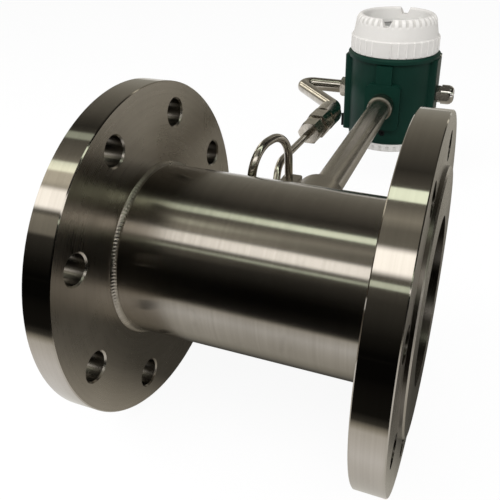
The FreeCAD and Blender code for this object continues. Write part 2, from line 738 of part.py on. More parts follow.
def transmitter_housing():
    """The casting: a barrel with two flat sides, a boss for the neck and two screwed openings."""
    body = new_body("housing_casting")
    bevel = d.hole_chamfer
    revolve(body, "barrel", [
        (ZERO, -d.head_low), (foot_r, -d.head_low), (foot_r, -foot_step), (barrel_r, -foot_step),
        (barrel_r, lip_start), (lip_r, lip_start + bevel), (lip_r, d.head_top - bevel * 2),
        (barrel_r, d.head_top), (ZERO, d.head_top)])
    sketch = new_sketch(body, "XY_Plane", "side_outline", -foot_step)
    back = d.pad_wide / 2
    draw_outline(sketch, [(-pad_r, -back), (pad_r, -back), (pad_r, back), (-pad_r, back)])
    sides = extrude(body, "sides", sketch, foot_step + lip_start + bevel)

    def is_side_corner(edge):
        box = edge.BoundBox
        return box.ZLength > foot_step.value and abs(abs(box.Center.x) - pad_r.value) < d.fit_gap.value

    dress(body, "side_rounds", "PartDesign::Fillet", sides, is_side_corner, d.pad_round)
    sketch = new_sketch(body, "XZ_Plane", "boss_outline")
    half = d.neck_pad_half
    draw_outline(sketch, [
        (-half, -d.neck_pad_low), (half, -d.neck_pad_low), (half, d.neck_pad_high), (-half, d.neck_pad_high)])
    boss_r = barrel_r + d.neck_pad_proud
    boss = extrude(body, "neck_boss", sketch, boss_r)

    def is_boss_corner(edge):
        box = edge.BoundBox
        near = d.fit_gap.value
        return box.XLength < near and box.ZLength < near and abs(box.YMin + boss_r.value) < near

    dress(body, "boss_rounds", "PartDesign::Fillet", boss, is_boss_corner, d.neck_pad_round)
    sketch = new_sketch(body, "XZ_Plane", "spine_outline")
    half = d.spine_half
    top = lip_start - d.spine_drop
    draw_outline(sketch, [(-half, ZERO), (half, ZERO), (half, top), (-half, top)])
    extrude(body, "spine", sketch, barrel_r + d.spine_proud)
    for name, thread, end, web in (
            ("front_room", front_thread_r, d.head_top, d.web_high),
            ("rear_room", rear_thread_r, -d.head_low, d.web_low)):
        step = d.thread_deep if end.value > 0 else -d.thread_deep
        revolve(body, name, [
            (ZERO, web), (room_r, web), (room_r, end - step), (thread, end - step), (thread, end),
            (ZERO, end)], "PartDesign::Groove")
    sketch = new_sketch(body, "XY_Plane", "post_outline", d.web_high)
    draw_circle(sketch, board_r - d.post_inset, ZERO, d.post_od)
    post = extrude(body, "post", sketch, d.post_high)
    ring_of(body, "posts", post, d.post_count)
    at_head(body)
    entries = [
        cylinder("conduit_entry", d.conduit_od / 2 + d.fit_gap, pad_r, neck_x, head_y, ZERO, AGAINST_X),
        cylinder("gland_entry", d.gland_thread / 2, pad_r, neck_x, head_y, d.gland_z, ALONG_X),
        cylinder("neck_entry", d.neck_od / 2 + d.fit_gap, boss_r, neck_x, collar_end, ZERO, ALONG_Y),
        cylinder("plug_entry", d.plug_od / 2 + d.fit_gap, boss_r,
                 neck_x + d.plug_x, collar_end, d.plug_z, ALONG_Y),
        cylinder("lock_entry", d.lock_od / 2 + d.fit_gap, d.lock_deep,
                 neck_x + lip_r - d.lock_deep, head_y, lip_middle, ALONG_X),
        cylinder("ground_entry", d.ground_screw_od / 2 + d.fit_gap, d.ground_deep,
                 left_pad, head_y + d.ground_y, d.ground_z, ALONG_X)]
    return cut("transmitter_housing", body, entries)


def front_cover():
    """The screw cover with a window: ribbed band, tapering wall, fluted shoulder and two notches."""
    body = new_body("front_cover")
    skirt = front_thread_r - d.screw_gap
    room = skirt - d.skirt_wall
    seat = window_r + d.fit_gap
    bevel = d.hole_chamfer
    groove = skirt - d.seal_thick
    groove_end = -d.seal_low - d.seal_thick - bevel / 2
    hall = window_z - d.window_thick - d.ring_thick - d.ring_room
    revolve(body, "cover_shell", [
        (room, -d.skirt_long), (skirt, -d.skirt_long), (skirt, groove_end), (groove, groove_end),
        (groove, -d.seal_low), (skirt, -d.seal_low), (skirt, ZERO), (cover_r, ZERO),
        (cover_r, d.cover_band), (shelf_r, d.cover_band), (crown_r, crown_z),
        (rim_r, cover_high - bevel), (rim_r - bevel, cover_high), (recess_r, cover_high),
        (opening_r, window_z + d.ledge_thick), (opening_r, window_z),
        (seat, window_z), (seat, hall), (room, hall)])
    sketch = new_sketch(body, "XY_Plane", "grip_outline", bevel)
    half = d.rib_wide / 2
    draw_outline(sketch, [
        (cover_r - d.rib_proud, -half), (cover_r + d.rib_proud, -half),
        (cover_r + d.rib_proud, half), (cover_r - d.rib_proud, half)])
    rib = extrude(body, "grip", sketch, d.cover_band - bevel)
    ring_of(body, "grips", rib, d.rib_count, d.rib_sweep)
    sketch = new_sketch(body, "XY_Plane", "flute_outline", crown_z + bevel)
    draw_circle(sketch, crown_r + d.flute_out, ZERO, d.flute_od)
    flute = extrude(body, "flute", sketch, cover_high, "PartDesign::Pocket", True)
    ring_of(body, "flutes", flute, d.flute_count)
    sketch = new_sketch(body, "XY_Plane", "notch_outline", cover_high - d.notch_deep,
                        d.notch_turn - d.rib_turn)
    half = d.notch_wide / 2
    draw_outline(sketch, [(opening_r, -half), (cover_r, -half), (cover_r, half), (opening_r, half)])
    notch = extrude(body, "notch", sketch, cover_high, "PartDesign::Pocket", True)
    ring_of(body, "notches", notch, d.notch_count)
    return at_head(body, cover_seat, FreeCAD.Rotation(FreeCAD.Vector(0, 0, 1), d.rib_turn.value))


def rear_cover():
    """The low blind screw cover under the head, its edge scalloped for the hand."""
    body = new_body("rear_cover")
    skirt = rear_thread_r - d.screw_gap
    room = skirt - d.rear_wall
    groove = skirt - d.seal_thick
    groove_end = -d.seal_low - d.seal_thick - d.hole_chamfer / 2
    inside = d.rear_high - d.rear_wall
    revolve(body, "rear_shell", [
        (room, -d.skirt_long), (skirt, -d.skirt_long), (skirt, groove_end), (groove, groove_end),
        (groove, -d.seal_low), (skirt, -d.seal_low), (skirt, ZERO), (foot_r, ZERO),
        (foot_r, d.rear_high - d.rear_lip), (foot_r - d.rear_taper, d.rear_high),
        (ZERO, d.rear_high), (ZERO, inside), (room, inside)])
    sketch = new_sketch(body, "XY_Plane", "lobe_outline", d.rear_lip)
    draw_circle(sketch, foot_r + d.lobe_out, ZERO, d.lobe_od)
    lobe = extrude(body, "lobe", sketch, d.rear_high, "PartDesign::Pocket", True)
    ring_of(body, "lobes", lobe, d.lobe_count)
    return at_head(body, -rear_seat, UPSIDE_DOWN)


def cover_seal(label, thread_r, height):
    """The flat ring in a cover's groove, by the height of its middle."""
    inner = thread_r - d.screw_gap - d.seal_thick + d.fit_gap
    outer = inner + d.seal_thick
    half = d.seal_thick / 2
    ring = turned(label, [(inner, -half), (outer, -half), (outer, half), (inner, half)])
    return at_head(ring, height)


seal_middle = d.seal_low + d.seal_thick / 2 + d.hole_chamfer / 4


def front_seal():
    return cover_seal("front_seal", front_thread_r, cover_seat - seal_middle)


def rear_seal():
    return cover_seal("rear_seal", rear_thread_r, seal_middle - rear_seat)


def display_window():
    low = window_z - d.window_thick
    disc = turned("display_window", [
        (ZERO, low), (window_r, low), (window_r, window_z), (ZERO, window_z)])
    return at_head(disc, cover_seat)


def window_ring():
    high = window_z - d.window_thick
    low = high - d.ring_thick
    inner = window_r - d.ring_wide
    ring = turned("window_ring", [(inner, low), (window_r, low), (window_r, high), (inner, high)])
    return at_head(ring, cover_seat)


def electronics_board():
    """The round board on the casting's four posts."""
    top = board_low + d.board_thick
    board = turned("electronics_board", [
        (ZERO, board_low), (board_r, board_low), (board_r, top), (ZERO, top)])
    return at_head(board)


def display_frame():
    """The ring and four pillars that carry the display over the board."""
    body = new_body("display_frame")
    low = display_low - d.frame_thick
    inner = display_r - d.frame_wide
    revolve(body, "frame_ring", [
        (inner, low), (display_r, low), (display_r, display_low), (inner, display_low)])
    top = board_low + d.board_thick
    sketch = new_sketch(body, "XY_Plane", "pillar_outline", top)
    draw_circle(sketch, display_r - d.pillar_inset, ZERO, d.pillar_od)
    pillar = extrude(body, "pillar", sketch, low - top + d.frame_thick / 2)
    ring_of(body, "pillars", pillar, d.post_count)
    return at_head(body)


def display_module():
    """The display under the window: a round case with the glass of the screen on it."""
    body = new_body("display_module")
    top = display_low + d.display_thick
    revolve(body, "display_case", [
        (ZERO, display_low), (display_r, display_low), (display_r, top - d.hole_chamfer),
        (display_r - d.hole_chamfer, top), (ZERO, top)])
    sketch = new_sketch(body, "XY_Plane", "screen_outline", top)
    across = d.lcd_long / 2
    back = d.lcd_high / 2
    draw_outline(sketch, [(-across, -back), (across, -back), (across, back), (-across, back)])
    extrude(body, "screen", sketch, d.lcd_thick)
    return at_head(body)


def row_of_ways(body, name, sketch_lift, width, length, kind):
    """The terminal ways, evenly spaced along the block."""
    sketch = new_sketch(body, "XY_Plane", name + "_outline", sketch_lift)
    draw_circle(sketch, -d.way_pitch * (d.ways - 1) / 2, ZERO, width)
    first = extrude(body, name, sketch, length, kind, kind == "PartDesign::Pocket")
    row = body.newObject("PartDesign::LinearPattern", name + "_row")
    row.Originals = [first]
    for axis in body.Origin.OriginFeatures:
        if axis.Role == "X_Axis":
            row.Direction = (axis, [""])
    bind(row, "Length", d.way_pitch * (d.ways - 1))
    row.Occurrences = int(d.ways.value)
    row.setExpression("Occurrences", d.ways.text)
    body.Tip = row


def at_block(body):
    return place(body, neck_x, head_y + d.block_back, d.web_low - d.block_high)


def terminal_block():
    body = new_body("terminal_block")
    sketch = new_sketch(body, "XY_Plane", "block_outline")
    across = d.block_long / 2
    back = d.block_wide / 2
    draw_outline(sketch, [(-across, -back), (across, -back), (across, back), (-across, back)])
    extrude(body, "block_pad", sketch, d.block_high)
    row_of_ways(body, "way", ZERO, d.way_od + d.fit_gap * 2, d.way_deep, "PartDesign::Pocket")
    return at_block(body)


def terminal_screws():
    screw = cylinder("way_screw", d.way_od / 2, d.way_deep, ZERO, ZERO, ZERO)
    screws = [screw]
    low = d.web_low - d.block_high
    first = neck_x - d.way_pitch * (d.ways - 1) / 2
    place(screw, first, head_y + d.block_back, low)
    for i in range(1, int(d.ways.value)):
        item = cylinder("way_screw_{}".format(i), d.way_od / 2, d.way_deep,
                        first + d.way_pitch * i, head_y + d.block_back, low)
        screws.append(item)
    return group("terminal_screws", screws)


# Cable gland, along the flow axis from the right side pad

def at_gland(item):
    return place(item, right_pad, head_y, d.gland_z, ALONG_X)


insert_end = d.insert_start + d.insert_long
washer_end = insert_end + d.washer_thick


def gland_body():
    body = hexagon_body("gland_body", d.gland_flats, ZERO, d.gland_hex)
    thread = d.gland_thread / 2 - d.fit_gap
    male = d.gland_male_od / 2
    top = d.gland_hex + d.gland_male
    revolve(body, "gland_stem", [
        (ZERO, -d.gland_reach), (thread, -d.gland_reach), (thread, ZERO), (male, d.gland_hex / 2),
        (male, top), (ZERO, top)])
    throat = d.insert_bore / 2
    room = d.gland_bore / 2
    revolve(body, "gland_throat", [
        (ZERO, -d.gland_reach), (throat, -d.gland_reach), (throat, d.insert_start), (room, d.insert_start),
        (room, top), (ZERO, top)], "PartDesign::Groove")
    return at_gland(body)


def gland_insert():
    outer = d.gland_bore / 2 - d.fit_gap
    ring = turned("gland_insert", [
        (d.insert_bore / 2, d.insert_start), (outer, d.insert_start), (outer, insert_end),
        (d.insert_bore / 2, insert_end)])
    return at_gland(ring)


def gland_washer():
    outer = d.gland_male_od / 2
    ring = turned("gland_washer", [
        (d.insert_bore / 2, insert_end), (outer, insert_end),
        (outer, washer_end), (d.insert_bore / 2, washer_end)])
    return at_gland(ring)


def gland_nut():
    """The domed nut that closes the insert round a cable."""
    start = d.gland_hex + d.face_gap
    end = start + d.gland_nut_long
    outer = d.gland_nut_od / 2
    inner = d.gland_male_od / 2 + d.screw_gap
    mouth = d.gland_mouth / 2
    floor = washer_end + d.face_gap
    dome = d.gland_dome
    body = turned("gland_nut_blank", [
        (inner, start), (outer, start), (outer, end - dome), (outer - dome / 6, end - dome / 2),
        (outer - dome / 2, end - dome / 8), (mouth + d.hole_chamfer, end), (mouth, end - d.hole_chamfer),
        (mouth, floor), (inner, floor)])
    at_gland(body)
    prism = hexagon("gland_nut_flats", d.gland_nut_flats, end, ZERO, ZERO, ZERO)
    at_gland(prism)
    return combined("Part::Common", "gland_nut", body, [prism])


# Small hardware

def ground_clamp():
    """The earth terminal's bent plate on the left side pad."""
    body = new_body("clamp_blank")
    sketch = new_sketch(body, "XY_Plane", "clamp_outline")
    half = d.ground_wide / 2
    plate = d.ground_plate
    lip = d.ground_turnup
    draw_outline(sketch, [
        (ZERO, -half), (-lip, -half), (-lip, plate - half), (-plate, plate - half),
        (-plate, half - plate), (-lip, half - plate), (-lip, half), (ZERO, half)])
    pad = extrude(body, "clamp_plate", sketch, d.ground_high)
    pad.Midplane = True
    place(body, left_pad, head_y + d.ground_y, d.ground_z)
    hole = cylinder("clamp_hole", d.ground_screw_od / 2 + d.fit_gap, plate * 2,
                    left_pad - plate * 1.5, head_y + d.ground_y, d.ground_z, ALONG_X)
    return cut("ground_clamp", body, [hole])


def screw(label, shank_od, shank_long, head_od, head_high):
    """A pan-head screw, its head upwards from the seat at zero."""
    shank = shank_od / 2
    head = head_od / 2
    return turned(label, [
        (ZERO, -shank_long), (shank, -shank_long), (shank, ZERO), (head, ZERO),
        (head, head_high / 2), (head * 0.8, head_high), (ZERO, head_high)])


def ground_screw():
    item = screw("ground_screw", d.ground_screw_od, d.ground_plate + d.ground_deep - d.face_gap,
                 d.ground_head_od, d.ground_head)
    return place(item, left_pad - d.ground_plate, head_y + d.ground_y, d.ground_z, AGAINST_X)


def cover_lock_screw():
    item = screw("cover_lock_screw", d.lock_od, d.lock_deep - d.face_gap, d.lock_head_od, d.lock_head)
    return place(item, neck_x + lip_r, head_y, lip_middle, ALONG_X)


def wall_plug():
    """The sunk screw plug in the barrel under the neck boss."""
    radius = d.plug_od / 2
    surface = barrel_r - d.plug_sunk
    key = radius / 2
    plug = turned("wall_plug", [
        (ZERO, -d.plug_long), (radius, -d.plug_long), (radius, ZERO), (key, ZERO), (key, -key), (ZERO, -key)])
    facing = FreeCAD.Rotation(FreeCAD.Vector(1, 0, 0), 90)
    return place(plug, neck_x + d.plug_x, head_y - surface, d.plug_z, facing)


NODES = [
    flow_tube(),
    flange("inlet_flange", ZERO, ALONG_X),
    flange("outlet_flange", d.face_span, AGAINST_X),
    weld_ring("inlet_weld", d.flange_thick, ALONG_X),
    weld_ring("outlet_weld", d.face_span - d.flange_thick, AGAINST_X),
    shedder_bar(), sensor_boss(), tap_block(),
    vortex_probe(), probe_gasket(), probe_nut(), sensor_lead(), neck_tube(), neck_collar(),
    pigtail_tube(), compression_ferrule(), compression_nut(), pressure_sensor(), sensor_sleeve(),
    conduit_tube(), conduit_nut(), pressure_lead(),
    transmitter_housing(), front_cover(), front_seal(), display_window(), window_ring(),
    rear_cover(), rear_seal(), electronics_board(), display_frame(), display_module(),
    terminal_block(), terminal_screws(),
    gland_body(), gland_insert(), gland_washer(), gland_nut(),
    ground_clamp(), ground_screw(), cover_lock_screw(), wall_plug(),
]
DOC.recompute()

faults = []
for item in DOC.Objects:
    if "Invalid" in item.State or "Error" in item.State:
        faults.append("{}: {}".format(item.Name, item.State))
for node in NODES:
    if node.Shape.isNull() or not node.Shape.isValid():
        faults.append("{}: its shape isn't valid".format(node.Label))
if faults:
    raise ValueError("; ".join(faults))

os.makedirs("parts", exist_ok=True)
for node in NODES:
    node.Shape.exportStep("parts/{}.step".format(node.Label))
    print(node.Label, len(node.Shape.Solids), round(node.Shape.Volume))
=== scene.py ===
# %% [markdown]
# # A flanged vortex flow meter
# The meter is a steel tube between two pipe flanges. A bar across the bore sheds vortices, a probe
# behind it counts them, and a neck carries the signals to a painted head with a screwed window cover.
# A thin looped line takes the pressure to a sensor beside the neck. The solids come from the CAD frame
# at their real size. This script gives them their finishes, and adds what is too fine for the solids.

import math

import bmesh
import bpy
import numpy as np
from mathutils import Matrix, Vector


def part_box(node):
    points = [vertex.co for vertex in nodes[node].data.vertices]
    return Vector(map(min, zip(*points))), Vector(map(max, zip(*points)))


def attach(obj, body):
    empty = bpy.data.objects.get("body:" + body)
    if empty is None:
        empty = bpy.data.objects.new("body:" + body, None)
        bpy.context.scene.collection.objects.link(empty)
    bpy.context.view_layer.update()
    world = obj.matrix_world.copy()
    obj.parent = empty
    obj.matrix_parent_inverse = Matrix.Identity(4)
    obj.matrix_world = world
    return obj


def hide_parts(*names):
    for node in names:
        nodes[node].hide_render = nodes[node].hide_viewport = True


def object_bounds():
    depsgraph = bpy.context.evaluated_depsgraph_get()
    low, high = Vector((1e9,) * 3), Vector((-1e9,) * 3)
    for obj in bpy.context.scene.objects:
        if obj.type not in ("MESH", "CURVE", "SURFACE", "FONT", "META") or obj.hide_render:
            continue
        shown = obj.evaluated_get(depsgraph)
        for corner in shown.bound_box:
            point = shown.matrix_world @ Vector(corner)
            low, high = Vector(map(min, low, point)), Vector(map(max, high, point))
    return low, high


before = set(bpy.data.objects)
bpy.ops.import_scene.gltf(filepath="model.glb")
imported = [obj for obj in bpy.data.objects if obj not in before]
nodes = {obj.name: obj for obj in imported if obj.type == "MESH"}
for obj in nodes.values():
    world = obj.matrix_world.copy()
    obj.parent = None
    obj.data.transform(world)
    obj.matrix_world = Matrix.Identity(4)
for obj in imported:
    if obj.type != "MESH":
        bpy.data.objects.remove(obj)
cad_low, cad_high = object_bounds()
print("frame:", len(nodes), "nodes, box", [round(v, 4) for v in cad_high - cad_low])

# %% [markdown]
# ## The camera
# The photograph was taken from close by, a little above the tube and beyond the outlet flange, so near
# things look much larger than far ones. The camera's place, its aim and its focal length were worked out
# from the flanges' ellipses. The picture was cropped after it was taken, which a small lens shift copies.

# %% Place the camera
photo_size = 500
camera_place = Vector((0.2141, -0.2924, 0.2153))
camera_right = Vector((0.9381, 0.3461, -0.0111))
camera_down = Vector((0.1576, -0.4555, -0.8762))
camera_back = camera_right.cross(-camera_down).normalized()
focal_pixels = 597.37
picture_centre = (280.79, 209.76)
sensor_wide = 36

camera = bpy.data.objects.new("camera", bpy.data.cameras.new("camera"))
bpy.context.scene.collection.objects.link(camera)
camera_up = camera_back.cross(camera_right).normalized()
facing = Matrix((camera_right.normalized(), camera_up, camera_back)).transposed()
camera.matrix_world = Matrix.Translation(camera_place) @ facing.to_4x4()
camera.data.sensor_width = sensor_wide
camera.data.lens = sensor_wide * focal_pixels / photo_size
camera.data.shift_x = 0.5 - picture_centre[0] / photo_size
camera.data.shift_y = picture_centre[1] / photo_size - 0.5
camera.data.clip_start = 0.01
bpy.context.scene.camera = camera
print("camera looks along", [round(v, 3) for v in -facing.col[2]])

# %% [markdown]
# ## Small helpers for shader nodes
# A procedural material is a graph of nodes. Building one by hand takes many lines, so one helper adds a
# node and fills its sockets: a value is set on the socket, and another node's output is linked to it.

# %% Node helpers


def add(tree, kind, inputs=None, **settings):
    """Add a node, set its settings, and fill its inputs by name or number with values or links."""
    node = tree.nodes.new("ShaderNode" + kind)
    for name, value in settings.items():
        setattr(node, name, value)
    for key, value in (inputs or {}).items():
        socket = node.inputs[key]
        if isinstance(value, bpy.types.NodeSocket):
            tree.links.new(value, socket)
        else:
            socket.default_value = value
    return node


def maths(tree, operation, a, b=0.0, clamp=False):
    """One sum, product or comparison of two numbers."""
    node = add(tree, "Math", {0: a, 1: b}, operation=operation, use_clamp=clamp)
    return node.outputs[0]


def spread(tree, value, low, high, to_low=0.0, to_high=1.0):
    """Stretch the stretch low to high of a value to another range, cut off at both ends."""
    return add(tree, "MapRange", {"Value": value, "From Min": low, "From Max": high,
                                  "To Min": to_low, "To Max": to_high}).outputs["Result"]


def noise(tree, place, scale, detail=2.0, rough=0.5, warp=0.0):
    """A cloudy value from 0 to 1 at a place."""
    return add(tree, "TexNoise", {"Vector": place, "Scale": scale, "Detail": detail,
                                  "Roughness": rough, "Distortion": warp}).outputs["Fac"]


def blend_colours(tree, share, first, second, mode="MIX"):
    """Mix two colours by a share."""
    node = add(tree, "Mix", {"Factor": share}, data_type="RGBA", blend_type=mode)
    for socket, colour in ((node.inputs[6], first), (node.inputs[7], second)):
        if isinstance(colour, bpy.types.NodeSocket):
            tree.links.new(colour, socket)
        else:
            socket.default_value = (*colour[:3], 1.0)
    return node.outputs[2]


def new_material(name, **sockets):
    """A material with one Principled shader whose plain sockets are set here."""
    material = bpy.data.materials.new(name)
    material.use_nodes = True
    tree = material.node_tree
    shader = tree.nodes["Principled BSDF"]
    for socket, value in sockets.items():
        label = socket.replace("_", " ")
        if isinstance(value, tuple):
            value = (*value[:3], 1.0)
        shader.inputs[label].default_value = value
    return material, tree, shader


def feed(tree, shader, **links):
    """Link outputs to the shader's sockets."""
    for socket, value in links.items():
        tree.links.new(value, shader.inputs[socket.replace("_", " ")])


def coat_node(name, material):
    """Give a CAD node's object one material on every slot."""
    materials = nodes[name].data.materials
    materials.clear()
    materials.append(material)


def coat_all(material, *names):
    """Give several CAD nodes the same material."""
    for name in names:
        coat_node(name, material)
    print(material.name, "on", ", ".join(names))


# %% [markdown]
# ## Turned and brushed steel
# The tube and the flanges came off a lathe. The tool left very fine rings round the pipe's axis: on the
# tube they lie side by side along it, and on a flange's face they are circles one inside the other. Both
# are one rule, a line pattern that reads only the distance along the axis and the distance from it. The
# rings also spread each highlight across themselves, which is anisotropy with a tangent round the axis.

# %% Steel with rings round an axis


def ring_place(tree, axis, centre):
    """The place measured from a centre, its distance along an axis and its distance away from the axis.

    Away is the length of the place with the axis's own share taken out.
    """
    here = add(tree, "TexCoord").outputs["Object"]
    local = add(tree, "VectorMath", {0: here, 1: centre}, operation="SUBTRACT").outputs[0]
    keep = tuple(0.0 if letter == axis else 1.0 for letter in "XYZ")
    across = add(tree, "VectorMath", {0: local, 1: keep}, operation="MULTIPLY").outputs[0]
    away = add(tree, "VectorMath", {0: across}, operation="LENGTH").outputs["Value"]
    along = add(tree, "SeparateXYZ", {0: local}).outputs["XYZ".index(axis)]
    return local, along, away


def ringed_steel(name, axis, centre, dark, light, rough=(0.24, 0.40), lines=2600.0,
                 stretch=0.6, relief=0.03, clouds=9.0, polish_from=None):
    """Steel with fine rings: noise that runs fast along and away from the axis and slowly round it.

    Beyond the distance polish_from the skin is a turned rim, smoother than the face. Inside it, walls that
    face across the axis, such as the bolt holes, are darkened as painted shade.
    """
    material, tree, shader = new_material(name, Metallic=1.0, Anisotropic=stretch, Anisotropic_Rotation=0.25)
    local, along, away = ring_place(tree, axis, centre)
    ring = add(tree, "CombineXYZ", {0: maths(tree, "MULTIPLY", along, lines),
                                    1: maths(tree, "MULTIPLY", away, lines)}).outputs[0]
    drift = add(tree, "VectorMath", {0: local, "Scale": 14.0}, operation="SCALE").outputs[0]
    track = add(tree, "VectorMath", {0: ring, 1: drift}, operation="ADD").outputs[0]
    fine = noise(tree, track, 1.0, 3.0, 0.7)
    coarse = noise(tree, track, 0.16, 2.0, 0.6)
    cloud = noise(tree, local, clouds, 3.0, 0.55, 0.6)
    smudge = noise(tree, local, clouds * 4.2, 4.0, 0.6, 1.2)
    tone = maths(tree, "ADD", maths(tree, "MULTIPLY", cloud, 0.75), maths(tree, "MULTIPLY", coarse, 0.25))
    colour = blend_colours(tree, spread(tree, tone, 0.36, 0.64), dark, light)
    stain = spread(tree, smudge, 0.62, 0.76, 0.0, 0.25)
    colour = blend_colours(tree, stain, colour, tuple(c * 0.7 for c in dark))
    rings = maths(tree, "ADD", maths(tree, "MULTIPLY", fine, 0.5), maths(tree, "MULTIPLY", smudge, 0.5))
    skin = spread(tree, rings, 0.3, 0.7, *rough)
    if polish_from is not None:
        rim = spread(tree, away, polish_from, polish_from + 0.0004)
        skin = add(tree, "Mix", {0: rim, 2: skin, 3: spread(tree, rings, 0.3, 0.7, 0.05, 0.10)}).outputs[0]
        # Painted shade: walls facing across the axis inside the rim, such as bolt holes, get a much darker
        # colour.
        facing = add(tree, "SeparateXYZ", {0: add(tree, "TexCoord").outputs["Normal"]}).outputs["X"]
        painted_wall_shade = maths(tree, "MULTIPLY", spread(tree, maths(tree, "ABSOLUTE", facing), 0.5, 0.2),
                           spread(tree, away, polish_from - 0.003, polish_from - 0.005))
        colour = blend_colours(tree, painted_wall_shade, colour, tuple(c * 0.45 for c in dark))
    bump = add(tree, "Bump", {"Strength": relief, "Distance": 0.0002, "Height": fine}).outputs[0]
    tangent = add(tree, "Tangent", direction_type="RADIAL", axis=axis).outputs[0]
    feed(tree, shader, Base_Color=colour, Roughness=skin, Normal=bump, Tangent=tangent)
    return material


steel_dark = (0.340, 0.309, 0.267)
steel_light = (0.445, 0.408, 0.358)
tube_dark = (0.265, 0.242, 0.208)
tube_light = (0.350, 0.322, 0.282)
head_centre = Vector((0.0985, 0.385, 0.0))
neck_centre = (head_centre.x, 0.0, 0.0)

tube_steel = ringed_steel("tube_steel", "X", (0, 0, 0), tube_dark, tube_light, (0.15, 0.20), 4200.0, 0.94)
flange_steel = ringed_steel("flange_steel", "X", (0, 0, 0), steel_dark, steel_light, (0.24, 0.34), 2600.0,
                            0.6, relief=0.012, polish_from=0.1092)
neck_steel = ringed_steel("neck_steel", "Y", neck_centre, steel_dark, steel_light, (0.19, 0.26), 1500.0, 0.8,
                          relief=0.006)
coat_all(tube_steel, "flow_tube")
coat_all(flange_steel, "inlet_flange", "outlet_flange", "inlet_weld", "outlet_weld", "shedder_bar")
coat_all(neck_steel, "sensor_boss", "neck_tube", "neck_collar", "vortex_probe", "probe_nut", "tap_block")

# %% [markdown]
# ## Bright drawn tube and fittings
# The pressure line, the conduit and the fittings are drawn or milled bar, rubbed bright. They mirror the
# room more sharply than the turned parts, with a faint fine grain and a little cloudy darkening.

# %% Bright steel


def bright_steel(name, base, rough=(0.12, 0.26), grain=60.0):
    """Smooth metal: one base colour, cloudy roughness and a weak, fine bump."""
    material, tree, shader = new_material(name, Metallic=1.0)
    here = add(tree, "TexCoord").outputs["Object"]
    cloud = noise(tree, here, grain, 4.0, 0.6, 0.8)
    fine = noise(tree, here, grain * 22.0, 2.0, 0.6)
    colour = blend_colours(tree, spread(tree, cloud, 0.35, 0.7), base, tuple(c * 0.72 for c in base))
    bump = add(tree, "Bump", {"Strength": 0.05, "Distance": 0.0003, "Height": fine}).outputs[0]
    feed(tree, shader, Base_Color=colour, Roughness=spread(tree, cloud, 0.3, 0.7, *rough), Normal=bump)
    return material


line_steel = bright_steel("line_steel", (0.52, 0.48, 0.42), (0.10, 0.22), 90.0)
fitting_steel = bright_steel("fitting_steel", (0.66, 0.61, 0.54), (0.13, 0.24), 140.0)
plated_steel = bright_steel("plated_steel", (0.66, 0.63, 0.59), (0.07, 0.16))
coat_all(line_steel, "pigtail_tube", "conduit_tube")
coat_all(fitting_steel, "compression_ferrule", "compression_nut", "pressure_sensor", "sensor_sleeve",
         "conduit_nut")
coat_all(plated_steel, "gland_body", "gland_nut", "gland_washer", "ground_screw", "cover_lock_screw")

# %% [markdown]
# ## Paint
# The head is cast aluminium under a thick powder coat. Powder melts into a skin with a faint orange-peel
# ripple, so its gloss is soft. The colour is almost flat, in two close tones that drift slowly.

# %% Powder coat


def powder_coat(name, base, shade, rough=0.36, peel=0.10, grain=900.0):
    """Paint: two close tones by a slow noise, a fine ripple, and a thin clear gloss."""
    material, tree, shader = new_material(name, Specular_IOR_Level=0.09, Coat_Weight=0.02,
                                          Coat_Roughness=0.25)
    here = add(tree, "TexCoord").outputs["Object"]
    cloud = noise(tree, here, 22.0, 3.0, 0.55)
    colour = blend_colours(tree, spread(tree, cloud, 0.3, 0.7), base, shade)
    ripple = noise(tree, here, grain, 2.0, 0.5)
    bump = add(tree, "Bump", {"Strength": peel, "Distance": 0.0004, "Height": ripple}).outputs[0]
    feed(tree, shader, Base_Color=colour, Roughness=spread(tree, cloud, 0.2, 0.8, rough * 0.85, rough * 1.2),
         Normal=bump)
    return material


white_coat = powder_coat("white_coat", (0.62, 0.605, 0.585), (0.59, 0.575, 0.555), 0.42, 0.05)
black_coat = powder_coat("black_coat", (0.012, 0.013, 0.013), (0.008, 0.009, 0.009), 0.45, 0.2)


thread_metres = 0.0025


def bare_seats(material):
    """Show bare turned aluminium inside the painted casting, where the covers screw in.

    The share is 1 where the distance from the head's axis is under the thread's crest, near either end.
    """
    tree = material.node_tree
    paint = tree.nodes["Principled BSDF"]
    place, along, away = ring_place(tree, "Z", (head_centre.x, head_centre.y, 0.0))
    angle = add(tree, "SeparateXYZ", {0: place}).outputs
    turned_by = maths(tree, "DIVIDE", maths(tree, "ARCTAN2", angle["Y"], angle["X"]), 2 * math.pi)
    turns = maths(tree, "ADD", maths(tree, "MULTIPLY", along, 1 / thread_metres), turned_by)
    screw = maths(tree, "PINGPONG", turns, 0.5)
    inside = maths(tree, "MULTIPLY", spread(tree, away, 0.0460, 0.0458), spread(tree, away, 0.0425, 0.0428))
    ends = spread(tree, maths(tree, "ABSOLUTE", along), 0.0360, 0.0364)
    share = maths(tree, "MULTIPLY", inside, ends)
    metal = tree.nodes.new("ShaderNodeBsdfPrincipled")
    relief = add(tree, "Bump", {"Strength": 0.9, "Distance": 0.0006, "Height": screw}).outputs[0]
    feed(tree, metal, Normal=relief)
    for socket, value in (("Base Color", (0.62, 0.62, 0.61, 1)), ("Metallic", 1.0), ("Roughness", 0.32)):
        metal.inputs[socket].default_value = value
    mixed = add(tree, "MixShader", {0: share, 1: paint.outputs[0], 2: metal.outputs[0]}).outputs[0]
    tree.links.new(mixed, tree.nodes["Material Output"].inputs["Surface"])


housing_coat = powder_coat("housing_coat", (0.0045, 0.0245, 0.0170), (0.0034, 0.0195, 0.0135), 0.40)
bare_seats(housing_coat)
coat_all(housing_coat, "transmitter_housing")
coat_all(white_coat, "front_cover", "rear_cover")
coat_all(black_coat, "ground_clamp", "wall_plug")

# %% [markdown]
# ## Glass, rubber, plastics and brass
# These are small or half hidden, yet each is seen when a cover comes off. Rubber is dull and almost
# black, moulded plastic has a fine spark-eroded grain, and the board is glass cloth under green varnish.

